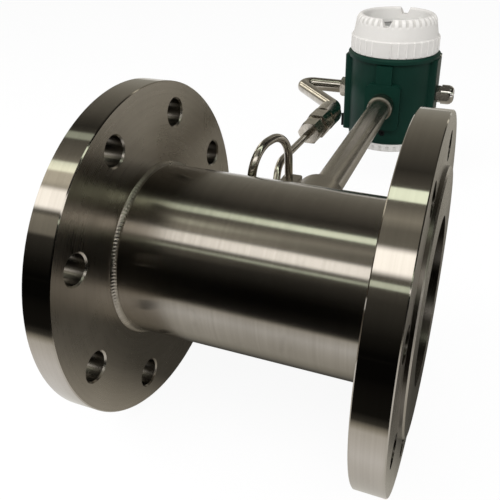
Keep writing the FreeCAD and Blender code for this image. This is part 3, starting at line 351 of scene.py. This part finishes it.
# %% Small finishes


def dull_material(name, base, rough=0.6, grain=300.0, relief=0.15, metal=0.0):
    """A dull moulding: a noisy tone of one colour and a fine grain."""
    material, tree, shader = new_material(name, Metallic=metal)
    here = add(tree, "TexCoord").outputs["Object"]
    cloud = noise(tree, here, grain, 3.0, 0.6)
    colour = blend_colours(tree, cloud, tuple(c * 0.8 for c in base), tuple(min(1.0, c * 1.2) for c in base))
    bump = add(tree, "Bump", {"Strength": relief, "Distance": 0.0002, "Height": cloud}).outputs[0]
    feed(tree, shader, Base_Color=colour, Roughness=spread(tree, cloud, 0.2, 0.8, rough * 0.9, rough * 1.1),
         Normal=bump)
    return material


def window_material():
    """Thick tinted safety glass: clear, with a trace of green and of dust in its roughness."""
    material, tree, shader = new_material("window_glass", Base_Color=(0.93, 0.97, 0.95), IOR=1.5,
                                          Transmission_Weight=1.0)
    here = add(tree, "TexCoord").outputs["Object"]
    dust = noise(tree, here, 120.0, 4.0, 0.7)
    feed(tree, shader, Roughness=spread(tree, dust, 0.4, 0.8, 0.0, 0.05))
    return material


rubber = dull_material("seal_rubber", (0.018, 0.018, 0.018), 0.62)
gasket_sheet = dull_material("gasket_sheet", (0.10, 0.10, 0.095), 0.75)
black_plastic = dull_material("black_plastic", (0.016, 0.017, 0.018), 0.5)
grey_plastic = dull_material("grey_plastic", (0.26, 0.26, 0.25), 0.5)
board_varnish = dull_material("board_varnish", (0.010, 0.085, 0.030), 0.35, 160.0)
terminal_plastic = dull_material("terminal_plastic", (0.030, 0.060, 0.040), 0.5)
screw_brass = dull_material("screw_brass", (0.62, 0.43, 0.17), 0.25, 200.0, 0.1, 1.0)
wire_jacket = dull_material("wire_jacket", (0.022, 0.022, 0.022), 0.55)
coat_all(window_material(), "display_window")
coat_all(rubber, "front_seal", "rear_seal", "gland_insert")
coat_all(gasket_sheet, "probe_gasket")
coat_all(black_plastic, "display_module", "window_ring")
coat_all(grey_plastic, "display_frame")
coat_all(board_varnish, "electronics_board")
coat_all(terminal_plastic, "terminal_block")
coat_all(screw_brass, "terminal_screws")
coat_all(wire_jacket, "sensor_lead", "pressure_lead")

# %% [markdown]
# ## The studio
# The background is plain white, yet the polished metal mirrors a real workshop around a small white
# table: a dark room behind the camera, a mid-grey wall behind the meter, one wide bright panel high in
# front, and thin pale-green tube lights. All of them run along the pipe, so on a cylinder each one becomes
# a long band. The world paints this room for mirror rays alone. Each ray's turn about the pipe's axis
# picks the wall, the panel or a tube light. The camera sees white, and lamps light the paint.

# %% Room for the mirrors


def hump(tree, value, middle, flat, edge):
    """One between middle - flat and middle + flat, falling to nothing over the edge's width."""
    off = maths(tree, "ABSOLUTE", maths(tree, "SUBTRACT", value, middle))
    return add(tree, "MapRange", {"Value": off, "From Min": flat, "From Max": flat + edge, "To Min": 1.0,
                                  "To Max": 0.0}, interpolation_type="SMOOTHSTEP").outputs["Result"]


def stepped(tree, value, stops):
    """A line through (value, result) stops, built as a sum of clamped rises."""
    total = stops[0][1]
    for (low, first), (high, last) in zip(stops, stops[1:]):
        total = maths(tree, "ADD", total, spread(tree, value, low, high, 0.0, last - first))
    return total


def band(middle, flat, edge, power):
    """A light that runs along the pipe: a hump over the turn about its axis, times its power."""
    return maths(sky, "MULTIPLY", hump(sky, turn_about, middle, flat, edge), power)


world = bpy.data.worlds.new("studio")
bpy.context.scene.world = world
world.use_nodes = True
sky = world.node_tree
way = add(sky, "SeparateXYZ", {0: add(sky, "TexCoord").outputs["Generated"]}).outputs
turn_about = maths(sky, "DEGREES", maths(sky, "ARCTAN2", way["Z"], way["Y"]))
left = spread(sky, way["X"], -0.28, -0.60)
far_left = spread(sky, way["X"], -0.40, -0.56)

wall = stepped(sky, turn_about, [(-92, 0.006), (-60, 0.36), (15, 0.34), (36, 0.25), (60, 0.12), (72, 0.055),
                                 (81, 0.12), (96, 0.24), (104, 0.46), (110, 0.24), (118, 0.24), (134, 0.20),
                                 (140, 0.14), (150, 0.06), (158, 0.04), (168, 0.015), (178, 0.004)])
room = maths(sky, "MULTIPLY", wall, spread(sky, way["X"], 0.36, 0.43, 1.0, 0.24))
doorway = maths(sky, "MULTIPLY", hump(sky, way["X"], 0.335, 0.010, 0.026),
                spread(sky, way["Y"], 0.5, 0.7, 0.0, 0.7))
panel = band(127.8, 4.6, 4.6, 2.05)
shelf = band(112.0, 3.0, 9.0, maths(sky, "MULTIPLY", left, 0.75))
tube_a = band(88.6, 3.4, 1.2, spread(sky, far_left, 0.0, 1.0, 1.9, 0.0))
tube_d = band(80.5, 1.8, 2.0, maths(sky, "MULTIPLY", far_left, 0.55))
tube_b = band(105.0, 2.5, 2.0, maths(sky, "MULTIPLY", far_left, 1.2))
tube_c = band(141.0, 1.0, 1.2, spread(sky, far_left, 0.0, 1.0, 0.95, 0.0))
haze = band(145.0, 5.0, 3.0, maths(sky, "MULTIPLY", far_left, 0.24))
panes = maths(sky, "ADD", hump(sky, way["X"], -0.68, 0.03, 0.03), hump(sky, way["X"], -0.86, 0.03, 0.04))
window_left = maths(sky, "MULTIPLY", panes, band(38.0, 16.0, 8.0, 2.0))
dim = maths(sky, "ADD", maths(sky, "ADD", room, doorway), maths(sky, "ADD", shelf, haze))
dim = maths(sky, "ADD", dim, window_left)
green = maths(sky, "ADD", maths(sky, "ADD", tube_a, tube_d), maths(sky, "ADD", tube_b, tube_c))
dim_part = add(sky, "VectorMath", {0: (1.0, 0.96, 0.83), "Scale": dim}, operation="SCALE").outputs[0]
warm_part = add(sky, "VectorMath", {0: dim_part, 1: panel}, operation="ADD").outputs[0]
green_part = add(sky, "VectorMath", {0: (0.88, 1.0, 0.84), "Scale": green}, operation="SCALE").outputs[0]
mirrored_room = add(sky, "VectorMath", {0: warm_part, 1: green_part}, operation="ADD").outputs[0]
sky_path = add(sky, "LightPath").outputs
sky_eye = maths(sky, "ADD", sky_path["Is Camera Ray"], sky_path["Is Transmission Ray"], True)
sky_plain = maths(sky, "ADD", sky_eye, maths(sky, "MULTIPLY", sky_path["Is Diffuse Ray"], 0.55))
sky_white = add(sky, "VectorMath", {0: (1.0, 1.0, 1.0), "Scale": sky_plain}, operation="SCALE").outputs[0]
sky_mirror = add(sky, "VectorMath", {0: mirrored_room, "Scale": sky_path["Is Glossy Ray"]},
                 operation="SCALE").outputs[0]
sky_colour = add(sky, "VectorMath", {0: sky_white, 1: sky_mirror}, operation="ADD").outputs[0]
sky.links.new(sky_colour, sky.nodes["Background"].inputs["Color"])
sky.nodes["Background"].inputs["Strength"].default_value = 1.0

# %% Floor


def studio_white(name, glow):
    """Pale matt paint that looks white to the eye and keeps part of its shadow.

    In a mirror it is a white table up to its front edge, with the dark room beyond, and a painted shadow
    under and behind the meter that turns warm where it is dim.
    """
    material, tree, shader = new_material(name, Base_Color=(0.86, 0.86, 0.86), Roughness=0.9)
    place = add(tree, "SeparateXYZ", {0: add(tree, "TexCoord").outputs["Object"]}).outputs
    table = stepped(tree, place["Y"], [(-0.8, 0.004), (-0.30, 0.012), (-0.262, 0.06), (-0.222, 0.80),
                                       (-0.16, 1.0), (0.5, 1.0), (1.5, 0.7)])
    # Painted shadow: in mirror rays the floor under and behind the meter is darkened, within the X span
    # below.
    shade = stepped(tree, place["Y"], [(-0.15, 1.0), (-0.06, 0.6), (-0.01, 0.10), (0.06, 0.06), (0.15, 0.18),
                                       (0.30, 0.30), (0.60, 0.42), (0.9, 0.6)])
    beside = hump(tree, place["X"], 0.30, 0.31, 0.05)
    table = maths(tree, "MULTIPLY", table, add(tree, "Mix", {0: beside, 2: 1.0, 3: shade}).outputs[0])
    path = add(tree, "LightPath").outputs
    eye = maths(tree, "ADD", path["Is Camera Ray"], path["Is Transmission Ray"], True)
    power = maths(tree, "ADD", eye, maths(tree, "MULTIPLY", path["Is Glossy Ray"], table))
    # Painted shadow colour: where the mirrored floor is dim, it is tinted warm.
    unshaded = maths(tree, "MAXIMUM", eye, spread(tree, table, 0.4, 1.0))
    tint = blend_colours(tree, unshaded, (1.0, 0.95, 0.82), (1.0, 1.0, 1.0))
    white = add(tree, "Emission", {"Color": tint, "Strength": power}).outputs[0]
    share = maths(tree, "ADD", maths(tree, "MULTIPLY", eye, glow), path["Is Glossy Ray"])
    mix = add(tree, "MixShader", {0: share, 1: shader.outputs[0], 2: white}).outputs[0]
    tree.links.new(mix, tree.nodes["Material Output"].inputs["Surface"])
    return material


def sheet_grid(name, across, up, surface, material):
    """A staged sheet from a function of two parameters, each from 0 to 1, on a grid."""
    u, v = np.meshgrid(np.linspace(0, 1, across), np.linspace(0, 1, up), indexing="ij")
    points = surface(u, v).reshape(-1, 3)
    i, j = np.meshgrid(np.arange(across - 1), np.arange(up - 1), indexing="ij")
    corner = (i * up + j).ravel()
    faces = np.stack([corner, corner + up, corner + up + 1, corner + 1], axis=1)
    mesh = bpy.data.meshes.new(name)
    mesh.from_pydata(points.tolist(), [], faces.tolist())
    item = bpy.data.objects.new(name, mesh)
    bpy.context.scene.collection.objects.link(item)
    item.data.materials.append(material)
    print(name, "is a staged sheet of", len(faces), "faces")


floor_height = cad_low.z - 0.0004


def floor_surface(u, v):
    """A flat sheet 12 m square at the floor's height."""
    return np.stack([(u - 0.5) * 12, (v - 0.5) * 12, np.full_like(u, floor_height)], axis=-1)


sheet_grid("floor", 2, 2, floor_surface, studio_white("floor_white", 0.93))

# %% Lamps


def lamp(name, place, aim, size, power):
    """A flat rectangular lamp at a place, turned to face another place."""
    data = bpy.data.lights.new(name, "AREA")
    data.shape = "RECTANGLE"
    data.size, data.size_y = size
    data.energy = power
    item = bpy.data.objects.new(name, data)
    bpy.context.scene.collection.objects.link(item)
    item.location = place
    item.rotation_euler = (Vector(aim) - Vector(place)).to_track_quat("-Z", "Y").to_euler()
    return item


for name, spot, aim, size, power in (
        ("overhead", (-0.10, -0.55, 1.15), (0.05, 0.1, 0.0), (1.5, 0.9), 16),
        ("left_fill", (-0.9, -0.5, 0.7), (0.1, 0.2, 0.0), (0.9, 0.9), 5.5),
        ("right_fill", (0.9, -0.3, 0.9), (0.1, 0.3, 0.0), (0.9, 0.9), 6)):
    lamp(name, spot, aim, size, power).visible_glossy = False
    print(name, power, "W")
bpy.context.scene.view_settings.view_transform = "Standard"

# %% [markdown]
# ## Weld beads
# A fillet weld is laid as a row of small overlapping puddles. Each one freezes into a crescent, and
# together they look like fish scales along a bead that wanders a little. One rule makes them all: a root
# line in the corner, a toe line on each of the two joined faces, and a crowned skin between the toes whose
# crown rises and falls along the line. So the two flange welds and the seams of the boss, of the neck and
# of the pressure tap differ only in their three lines.

# %% Closed surfaces from a grid


sharp_degrees = 32


def closed_band(name, points, body, material, shade=None, weld_poles=False, closed_u=True):
    """A closed band: a grid of points that wraps round both ways, its faces made to point outwards.

    The shell's signed volume is the sum of a . (b x c) / 6 over its triangles. Below zero means inside out.
    shade is a value for each point, kept as an attribute that a material can read. With closed_u off the
    rows don't wrap: each end is closed by a fan to the middle of its row.
    """
    rows, columns = points.shape[:2]
    if not closed_u:
        ends = np.stack([points[:1], points[-1:]]).mean(axis=2, keepdims=True)
        points = np.concatenate([ends[0].repeat(columns, axis=1), points, ends[1].repeat(columns, axis=1)])
        shade = np.concatenate([shade[:1], shade, shade[-1:]])
        rows, weld_poles = rows + 2, True
    i, j = np.meshgrid(np.arange(rows if closed_u else rows - 1), np.arange(columns), indexing="ij")
    after_i, after_j = (i + 1) % rows, (j + 1) % columns
    corners = [i * columns + j, after_i * columns + j, after_i * columns + after_j, i * columns + after_j]
    faces = np.stack([corner.ravel() for corner in corners], axis=1)
    flat = points.reshape(-1, 3)
    a, b, c, e = (flat[faces[:, k]] for k in range(4))
    volume = (np.cross(b, c) * a).sum() + (np.cross(c, e) * a).sum()
    if volume < 0:
        faces = faces[:, ::-1]
    mesh = bpy.data.meshes.new(name)
    mesh.vertices.add(len(flat))
    mesh.vertices.foreach_set("co", flat.ravel().astype(np.float32))
    mesh.loops.add(faces.size)
    mesh.loops.foreach_set("vertex_index", faces.ravel().astype(np.int32))
    mesh.polygons.add(len(faces))
    mesh.polygons.foreach_set("loop_start", np.arange(0, faces.size, 4, dtype=np.int32))
    mesh.polygons.foreach_set("use_smooth", np.ones(len(faces), dtype=bool))
    mesh.update(calc_edges=True)
    if shade is not None:
        values = mesh.attributes.new("shade", "FLOAT", "POINT").data
        values.foreach_set("value", shade.ravel().astype(np.float32))
    if weld_poles:
        shell = bmesh.new()
        shell.from_mesh(mesh)
        bmesh.ops.remove_doubles(shell, verts=shell.verts, dist=1e-7)
        shell.to_mesh(mesh)
        shell.free()
    mesh.validate()
    mesh.set_sharp_from_angle(angle=math.radians(sharp_degrees))
    item = bpy.data.objects.new(name, mesh)
    bpy.context.scene.collection.objects.link(item)
    mesh.materials.append(material)
    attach(item, body)
    print(name, "has", len(faces), "faces, volume", round(abs(volume) / 6 * 1e9, 1), "mm3")
    return item


def bead(name, root, toe_a, toe_b, scales, crown, material, skin=10):
    """A fillet weld between a root line and two toe lines, given as rows of points along the seam.

    Across the skin, s runs from 0 to 1. A point is toe_a + s (toe_b - toe_a), pushed out of the corner
    by crown 4 s (1 - s), times 1 plus 0.22 of the sine of (scales t - 2 (2 s - 1) squared), where t
    turns once along the seam. The square bends each ripple into a crescent.
    """
    turns = np.linspace(0, 2 * np.pi, len(root), endpoint=False)[:, None]
    s = np.linspace(0, 1, skin)[None, :]
    out = (toe_a + toe_b) / 2 - root
    out /= np.linalg.norm(out, axis=1, keepdims=True)
    ripple = 1 + 0.22 * np.sin(scales * turns - 2.0 * (2 * s - 1) ** 2)
    drift = 1 + 0.12 * np.sin(5 * turns + 0.7) + 0.08 * np.sin(13 * turns + 2.0)
    rise = crown * 4 * s * (1 - s) * ripple * drift
    between = toe_a[:, None] * (1 - s[..., None]) + toe_b[:, None] * s[..., None]
    face = between + out[:, None] * rise[..., None]
    points = np.concatenate([face, root[:, None]], axis=1)
    return closed_band(name, points, "meter", material)


# %% Beads where the tube meets the flanges
scale_pitch = 0.0022
points_per_scale = 8
off_skin = 2e-5
toe_share = 0.9
tube_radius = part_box("flow_tube")[1].y
bead_steel = bright_steel("bead_steel", (0.37, 0.335, 0.285), (0.24, 0.36), 140.0)


def ring_line(x, radius, count):
    """A circle round the pipe's axis at a place x: (x, r cos t, r sin t)."""
    t = np.linspace(0, 2 * np.pi, count, endpoint=False)
    return np.stack([x + 0 * t, radius * np.cos(t), radius * np.sin(t)], axis=1)


for name in ("inlet_weld", "outlet_weld"):
    low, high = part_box(name)
    toward = 1 if name == "inlet_weld" else -1
    start = low.x if toward > 0 else high.x
    leg = high.x - low.x
    scales = round(2 * math.pi * (tube_radius + leg / 2) / scale_pitch)
    count = scales * points_per_scale
    wander = 1 + 0.05 * np.sin(np.linspace(0, 2 * np.pi, count, endpoint=False) * 9 + toward)
    root = ring_line(start, tube_radius + off_skin, count)
    toe_tube = ring_line(start + toward * leg * toe_share * wander, tube_radius + off_skin, count)
    toe_face = ring_line(start, tube_radius + leg * toe_share * wander, count)
    item = bead(name + "_bead", root, toe_tube, toe_face, scales, 0.00042, bead_steel)
    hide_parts(name)

# %% Beads at the boss, the neck and the pressure tap


def saddle(x, z):
    """Points on the tube's skin above (x, z): the height is the square root of radius squared - z squared."""
    return np.stack([x, np.sqrt((tube_radius + off_skin) ** 2 - z ** 2), z], axis=1)


boss_scales, neck_scales, tap_scales = 56, 34, 28
pinch = 0.86
seam_turn = np.linspace(0, 2 * np.pi, boss_scales * points_per_scale, endpoint=False)
boss_low, boss_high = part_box("sensor_boss")
boss_radius = (boss_high.x - boss_low.x) / 2 + off_skin
boss_x = (boss_high.x + boss_low.x) / 2
tap_low, tap_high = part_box("tap_block")
beside_tap = np.exp(-((np.abs(seam_turn - np.pi) / 0.5) ** 4))
boss_leg = 0.0026 * (1 - pinch * beside_tap)
across, along_z = np.cos(seam_turn), np.sin(seam_turn)
root = saddle(boss_x + boss_radius * across, boss_radius * along_z)
toe_wall = root + np.stack([0 * across, boss_leg, 0 * across], axis=1)
toe_tube = saddle(boss_x + (boss_radius + boss_leg) * across, (boss_radius + boss_leg) * along_z)
bead("boss_bead", root, toe_wall, toe_tube, boss_scales, 0.0004, bead_steel)

neck_low, neck_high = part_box("neck_tube")
neck_radius = (neck_high.x - neck_low.x) / 2 + off_skin
collar_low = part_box("neck_collar")[0]
for name, height, upward, leg in (("neck_foot_bead", boss_high.y, 1, 0.0019),
                                  ("collar_bead", collar_low.y, -1, 0.0017)):
    root = np.stack([boss_x + neck_radius * across, np.full(len(across), height + off_skin * upward),
                     neck_radius * along_z], axis=1)
    toe_wall = root + np.array([0, leg * upward, 0])
    toe_flat = root + np.stack([leg * across, 0 * across, leg * along_z], axis=1)
    bead(name, root, toe_wall, toe_flat, neck_scales, 0.0003, bead_steel)

half_x = (tap_high.x - tap_low.x) / 2 + off_skin
half_z = (tap_high.z - tap_low.z) / 2 + off_skin
tap_x = (tap_high.x + tap_low.x) / 2
side = np.linspace(0, 4, tap_scales * points_per_scale, endpoint=False)
block_x = np.interp(side, [0, 1, 2, 3, 4], [-1, 1, 1, -1, -1])
block_z = np.interp(side, [0, 1, 2, 3, 4], [-1, -1, 1, 1, -1])
tap_leg = 0.0022 * (1 - pinch * np.clip((block_x - 0.6) / 0.3, 0, 1))
root = saddle(tap_x + half_x * block_x, half_z * block_z)
toe_wall = root + np.stack([0 * side, tap_leg, 0 * side], axis=1)
toe_tube = saddle(tap_x + (half_x + tap_leg) * block_x, (half_z + tap_leg) * block_z)
bead("tap_bead", root, toe_wall, toe_tube, tap_scales, 0.00035, bead_steel)

# %% [markdown]
# ## The display's face
# Under the window lies a small liquid crystal screen. Switched off, it is a grey-green film on which the
# unlit digits just show. The film is one fine grid. Its height is a flat plate with rounded edges, and an
# attribute holds the digits: each is seven bars, and a bar is every point near a short line.

# %% Screen film with unlit digits


def ease(value, low, high):
    """0 below low, 1 above high, with a smooth step between."""
    share = np.clip((value - low) / (high - low), 0, 1)
    return share * share * (3 - 2 * share)


def near_line(x, y, start, end, half):
    """1 within half a bar's width of the line from start to end, by the distance to its nearest point."""
    run = np.subtract(end, start)
    share = np.clip(((x - start[0]) * run[0] + (y - start[1]) * run[1]) / (run ** 2).sum(), 0.08, 0.92)
    far = np.hypot(x - start[0] - share * run[0], y - start[1] - share * run[1])
    return 1 - ease(far, half * 0.7, half)


case_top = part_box("display_module")[1].z
digit_pitch, digit_half, bar_half = 0.0072, 0.0022, 0.0006
film_half = (0.0200, 0.0110)
film_high = case_top + 0.0002
u, v = np.meshgrid(np.linspace(-1, 1, 241), np.linspace(-1, 1, 133), indexing="ij")
film_x, film_y = u * film_half[0], v * film_half[1]
digits = np.zeros_like(u)
for middle in np.arange(-2, 3) * digit_pitch:
    west, east, low, mid, high = middle - digit_half, middle + digit_half, -0.0052, 0.0010, 0.0072
    for start, end in (((west, low), (east, low)), ((west, mid), (east, mid)), ((west, high), (east, high)),
                       ((west, low), (west, mid)), ((east, low), (east, mid)),
                       ((west, mid), (west, high)), ((east, mid), (east, high))):
        digits = np.maximum(digits, near_line(film_x, film_y, start, end, bar_half))
in_row = (np.abs(film_y + 0.0086) < 0.0007) & (np.abs(film_x) < 0.0166)
scale_bar = in_row & ((film_x * 1000) % 1.2 < 0.8)
digits = np.maximum(digits, scale_bar * 1.0)
edge = np.maximum(ease(np.abs(u), 0.985, 1.0), ease(np.abs(v), 0.975, 1.0))
top = np.stack([head_centre.x + film_x, head_centre.y + film_y, film_high - 0.0003 * edge], axis=-1)
bottom = top.copy()
bottom[..., 2] = case_top - 0.0002
film_points = np.concatenate([top, bottom[:, ::-1]], axis=1)
film_shade = np.concatenate([digits, 0 * digits], axis=1)


def film_material():
    """Grey-green film: the attribute shade darkens it where a bar lies; a faint glow, painted light, lifts
    it.
    """
    # Painted light: the switched-off screen is given a faint emission of its own colour, though it is no
    # lamp.
    material, tree, shader = new_material("screen_film", Roughness=0.25, Emission_Strength=0.35)
    here = add(tree, "TexCoord").outputs["Object"]
    grain = noise(tree, here, 900.0, 2.0, 0.5)
    bars = add(tree, "Attribute", attribute_name="shade").outputs["Fac"]
    tone = maths(tree, "ADD", maths(tree, "MULTIPLY", bars, 0.75), maths(tree, "MULTIPLY", grain, 0.1))
    colour = blend_colours(tree, tone, (0.30, 0.34, 0.25), (0.14, 0.16, 0.12))
    feed(tree, shader, Base_Color=colour, Emission_Color=colour)
    return material


closed_band("screen_film", film_points, "meter", film_material(), film_shade,
            closed_u=False)

# %% [markdown]
# ## The screwed covers
# Both covers are turned castings: a skirt with a real screw thread, a groove for the rubber ring, and an
# outside that a hand can grip. The front one has thin ribs round its band, a rounded crown cut by flutes,
# and two notches for a bar. The rear one has a scalloped edge. Each is one profile turned about the head's
# axis, and every rib, flute, notch and thread is a rule that moves the profile's points as it turns. The
# same rules write a value on each point, which the paint reads as painted shade: light on the ribs and
# ridges, darker in the hollows between them and in the scallops.

# %% Paint with painted shade in its hollows


def hollow_shaded_paint(name, unshaded, shaded_hollow_colour):
    """White paint whose tone follows the attribute shade, a painted shade: 0 in a hollow, 1 on a rib."""
    material, tree, shader = new_material(name, Specular_IOR_Level=0.3)
    here = add(tree, "TexCoord").outputs["Object"]
    cloud = noise(tree, here, 26.0, 4.0, 0.6)
    peel = noise(tree, here, 900.0, 2.0, 0.5)
    shade = add(tree, "Attribute", attribute_name="shade").outputs["Fac"]
    tone = maths(tree, "ADD", shade, spread(tree, cloud, 0.3, 0.7, -0.14, 0.10))
    colour = blend_colours(tree, spread(tree, tone, 0.0, 1.0), shaded_hollow_colour, unshaded)
    relief = add(tree, "Bump", {"Strength": 0.05, "Distance": 0.0004, "Height": peel}).outputs[0]
    feed(tree, shader, Base_Color=colour, Roughness=spread(tree, cloud, 0.2, 0.8, 0.36, 0.5), Normal=relief)
    return material


# The paint's light colour goes on the rib tops and its dark one in the hollows, as painted shade.
cover_paint = hollow_shaded_paint("cover_paint", (0.64, 0.622, 0.598), (0.475, 0.46, 0.435))

# %% Turn a profile


def walk(corners, step):
    """Points along a closed outline: every corner, and more between them, at most a step apart."""
    corners = np.asarray(corners, float)
    runs = []
    for start, end in zip(corners, np.roll(corners, -1, axis=0)):
        count = max(1, math.ceil(np.linalg.norm(end - start) / step))
        runs.append(np.linspace(start, end, count, endpoint=False))
    return np.concatenate(runs)


def arc(centre, across, up, first, last, count):
    """Corners of an elliptic arc: (centre + across cos t, centre + up sin t), t in degrees."""
    t = np.radians(np.linspace(first, last, count))
    return list(zip(centre[0] + across * np.cos(t), centre[1] + up * np.sin(t)))


def outward(profile):
    """The outline's unit normals: its direction turned a quarter, pointing out of the metal."""
    along = np.roll(profile, -1, axis=0) - np.roll(profile, 1, axis=0)
    along /= np.maximum(np.linalg.norm(along, axis=1, keepdims=True), 1e-9)
    return np.stack([along[:, 1], -along[:, 0]], axis=1)


def threaded(radius, height, turn, crest, low, high):
    """Cut a thread into the skirt: the radius drops by a triangle wave of height / pitch + turn / 360."""
    wave = np.abs(((height / thread_pitch + turn / 360) % 1) * 2 - 1)
    on_skirt = (np.abs(radius - crest) < 0.01) & (height > low) & (height < high)
    return np.where(on_skirt, radius - thread_deep * wave, radius)


def turned_cover(name, node, body, radius, height, turn, shade, seat, upward, poles):
    """Place radius and height, both in millimetres, round the head's axis and make the shell."""
    angle = np.radians(turn)
    points = np.stack([head_centre.x + radius * np.cos(angle) / 1000,
                       head_centre.y + radius * np.sin(angle) / 1000,
                       (seat + upward * height) / 1000 + 0 * angle], axis=-1)
    item = closed_band(name, points, body, cover_paint, shade, poles)
    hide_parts(node)


def spun(profile):
    """A profile's radius and height, each repeated round the whole turn."""
    return tuple(np.repeat(profile[:, k:k + 1], columns, axis=1) for k in range(2))


# %% The front cover
thread_pitch, thread_deep, skirt_long = thread_metres * 1000, 0.9, 9.5
seal_groove = (-3.3, -1.6)
cover_seat, cover_r, band_high, shelf_r = 49.0, 48.0, 17.0, 46.4
crown_r, crown_z, cover_high, crown_middle = 44.0, 31.0, 39.0, 38.2
skirt_r, room_r, groove_r, opening_r, window_seat = 45.0, 41.5, 43.8, 33.5, 36.05
window_high, ledge_high, hall_high = 23.0, 26.0, 14.0
crown = arc((crown_middle, crown_z), crown_r - crown_middle, cover_high - crown_z, 4, 90, 16)
lip = arc((crown_middle, cover_high - 3.4), 2.6, 3.4, 98, 168, 9)
front_outline = [(room_r, -skirt_long), (skirt_r - 0.5, -skirt_long), (skirt_r, -skirt_long + 0.5),
                 (skirt_r, seal_groove[0]), (groove_r, seal_groove[0]), (groove_r, seal_groove[1]),
                 (skirt_r, seal_groove[1]), (skirt_r, 0), (cover_r - 0.5, 0), (cover_r, 0.5),
                 (cover_r, band_high - 0.7), (cover_r - 0.7, band_high), (shelf_r + 0.7, band_high),
                 (shelf_r, band_high + 0.7), (crown_r, crown_z)] + crown + lip + [
                 (opening_r, ledge_high), (opening_r, window_high), (window_seat, window_high),
                 (window_seat, hall_high), (room_r, hall_high)]
profile = walk(front_outline, 1.25)
normal = outward(profile)
columns = 756
turn = np.linspace(0, 360, columns, endpoint=False)[None, :]
radius, height = spun(profile)
radius = threaded(radius, height, turn, skirt_r, -skirt_long + 0.4, seal_groove[0] - 0.2)

rib_first, rib_step, rib_last, rib_half, rib_proud = 274.6, 336 / 33, 33, 0.95, 0.8
from_first = (turn - rib_first) % 360
nearest = np.clip(np.round(from_first / rib_step), 0, rib_last) * rib_step
rib_off = np.minimum(np.abs(from_first - nearest), 360 - np.abs(from_first - nearest))
rib_off = np.radians(rib_off) * cover_r
rib = 1 - ease(rib_off, rib_half * 0.55, rib_half * 1.1)
on_band = ease(height, 0.4, 1.4) * (1 - ease(height, band_high - 0.3, band_high + 0.5))
on_band = on_band * (radius > shelf_r + 0.2)
radius = radius + rib_proud * rib * on_band

flute_count, flute_deep = 36, 1.0
ridge = ease(np.cos(np.radians(turn) * flute_count), -0.55, 0.15)
on_crown = ease(height, crown_z - 0.2, crown_z + 1.6) * (1 - ease(crown_r - radius, 3.6, 5.4))
on_crown = on_crown * (radius > opening_r + 4)
sink = flute_deep * (1 - ridge) * on_crown
radius = radius - sink * normal[:, :1]
height = height - sink * normal[:, 1:]
# Painted shade: the band's ribs and the crown's ridges read light, the hollows between them dark.
shade = 0.55 + 0.45 * rib * on_band + on_crown * (ridge - 0.62)

notch_turn, notch_floor, notch_half, notch_slope = 86.0, 31.3, 3.0, 2.9
aside = np.abs(radius * np.sin(np.radians(turn - notch_turn)))
cut = notch_floor + np.maximum(0, aside - notch_half) * notch_slope
height = np.minimum(height, np.where(radius > opening_r - 1, cut, height))
turned_cover("front_cover_shell", "front_cover", "front_cap", radius, height, turn, shade, cover_seat, 1,
             False)

# %% The rear cover
rear_seat, foot_r, rear_high, rear_lip, rear_taper = -48.0, 47.0, 10.2, 2.6, 4.0
rear_skirt, rear_room, rear_groove, rear_inside = 44.0, 41.0, 42.8, 7.2
rear_outline = [(rear_room, -skirt_long), (rear_skirt - 0.5, -skirt_long), (rear_skirt, -skirt_long + 0.5),
                (rear_skirt, seal_groove[0]), (rear_groove, seal_groove[0]), (rear_groove, seal_groove[1]),
                (rear_skirt, seal_groove[1]), (rear_skirt, 0), (foot_r - 0.4, 0), (foot_r, 0.4),
                (foot_r, rear_lip), (foot_r, rear_lip + 0.2), (foot_r, rear_high - rear_lip),
                (foot_r - 1.4, rear_high - 1.1), (foot_r - rear_taper, rear_high), (0, rear_high),
                (0, rear_inside), (rear_room - 0.6, rear_inside), (rear_room, rear_inside - 0.6)]
profile = walk(rear_outline, 1.6)
radius, height = spun(profile)
radius = threaded(radius, height, turn, rear_skirt, -skirt_long + 0.4, seal_groove[0] - 0.2)
lobe_count, lobe_r, lobe_middle = 36, 2.5, foot_r + 1.3
off = np.radians((turn + 180 / lobe_count) % (360 / lobe_count) - 180 / lobe_count)
chord = np.sqrt(np.maximum(lobe_r ** 2 - (lobe_middle * np.sin(off)) ** 2, 0))
edge = np.where(chord > 0, lobe_middle * np.cos(off) - chord, foot_r)
on_edge = (height > rear_lip + 0.1) & (radius > rear_room + 1)
# Painted shade: where the scallops cut into the edge, the paint reads darker.
shade = np.where(on_edge & (radius > edge), 0.35, 0.6) + 0 * radius
radius = np.where(on_edge, np.minimum(radius, edge), radius)
turned_cover("rear_cover_shell", "rear_cover", "rear_cap", radius, height, turn, shade, rear_seat, -1, True)
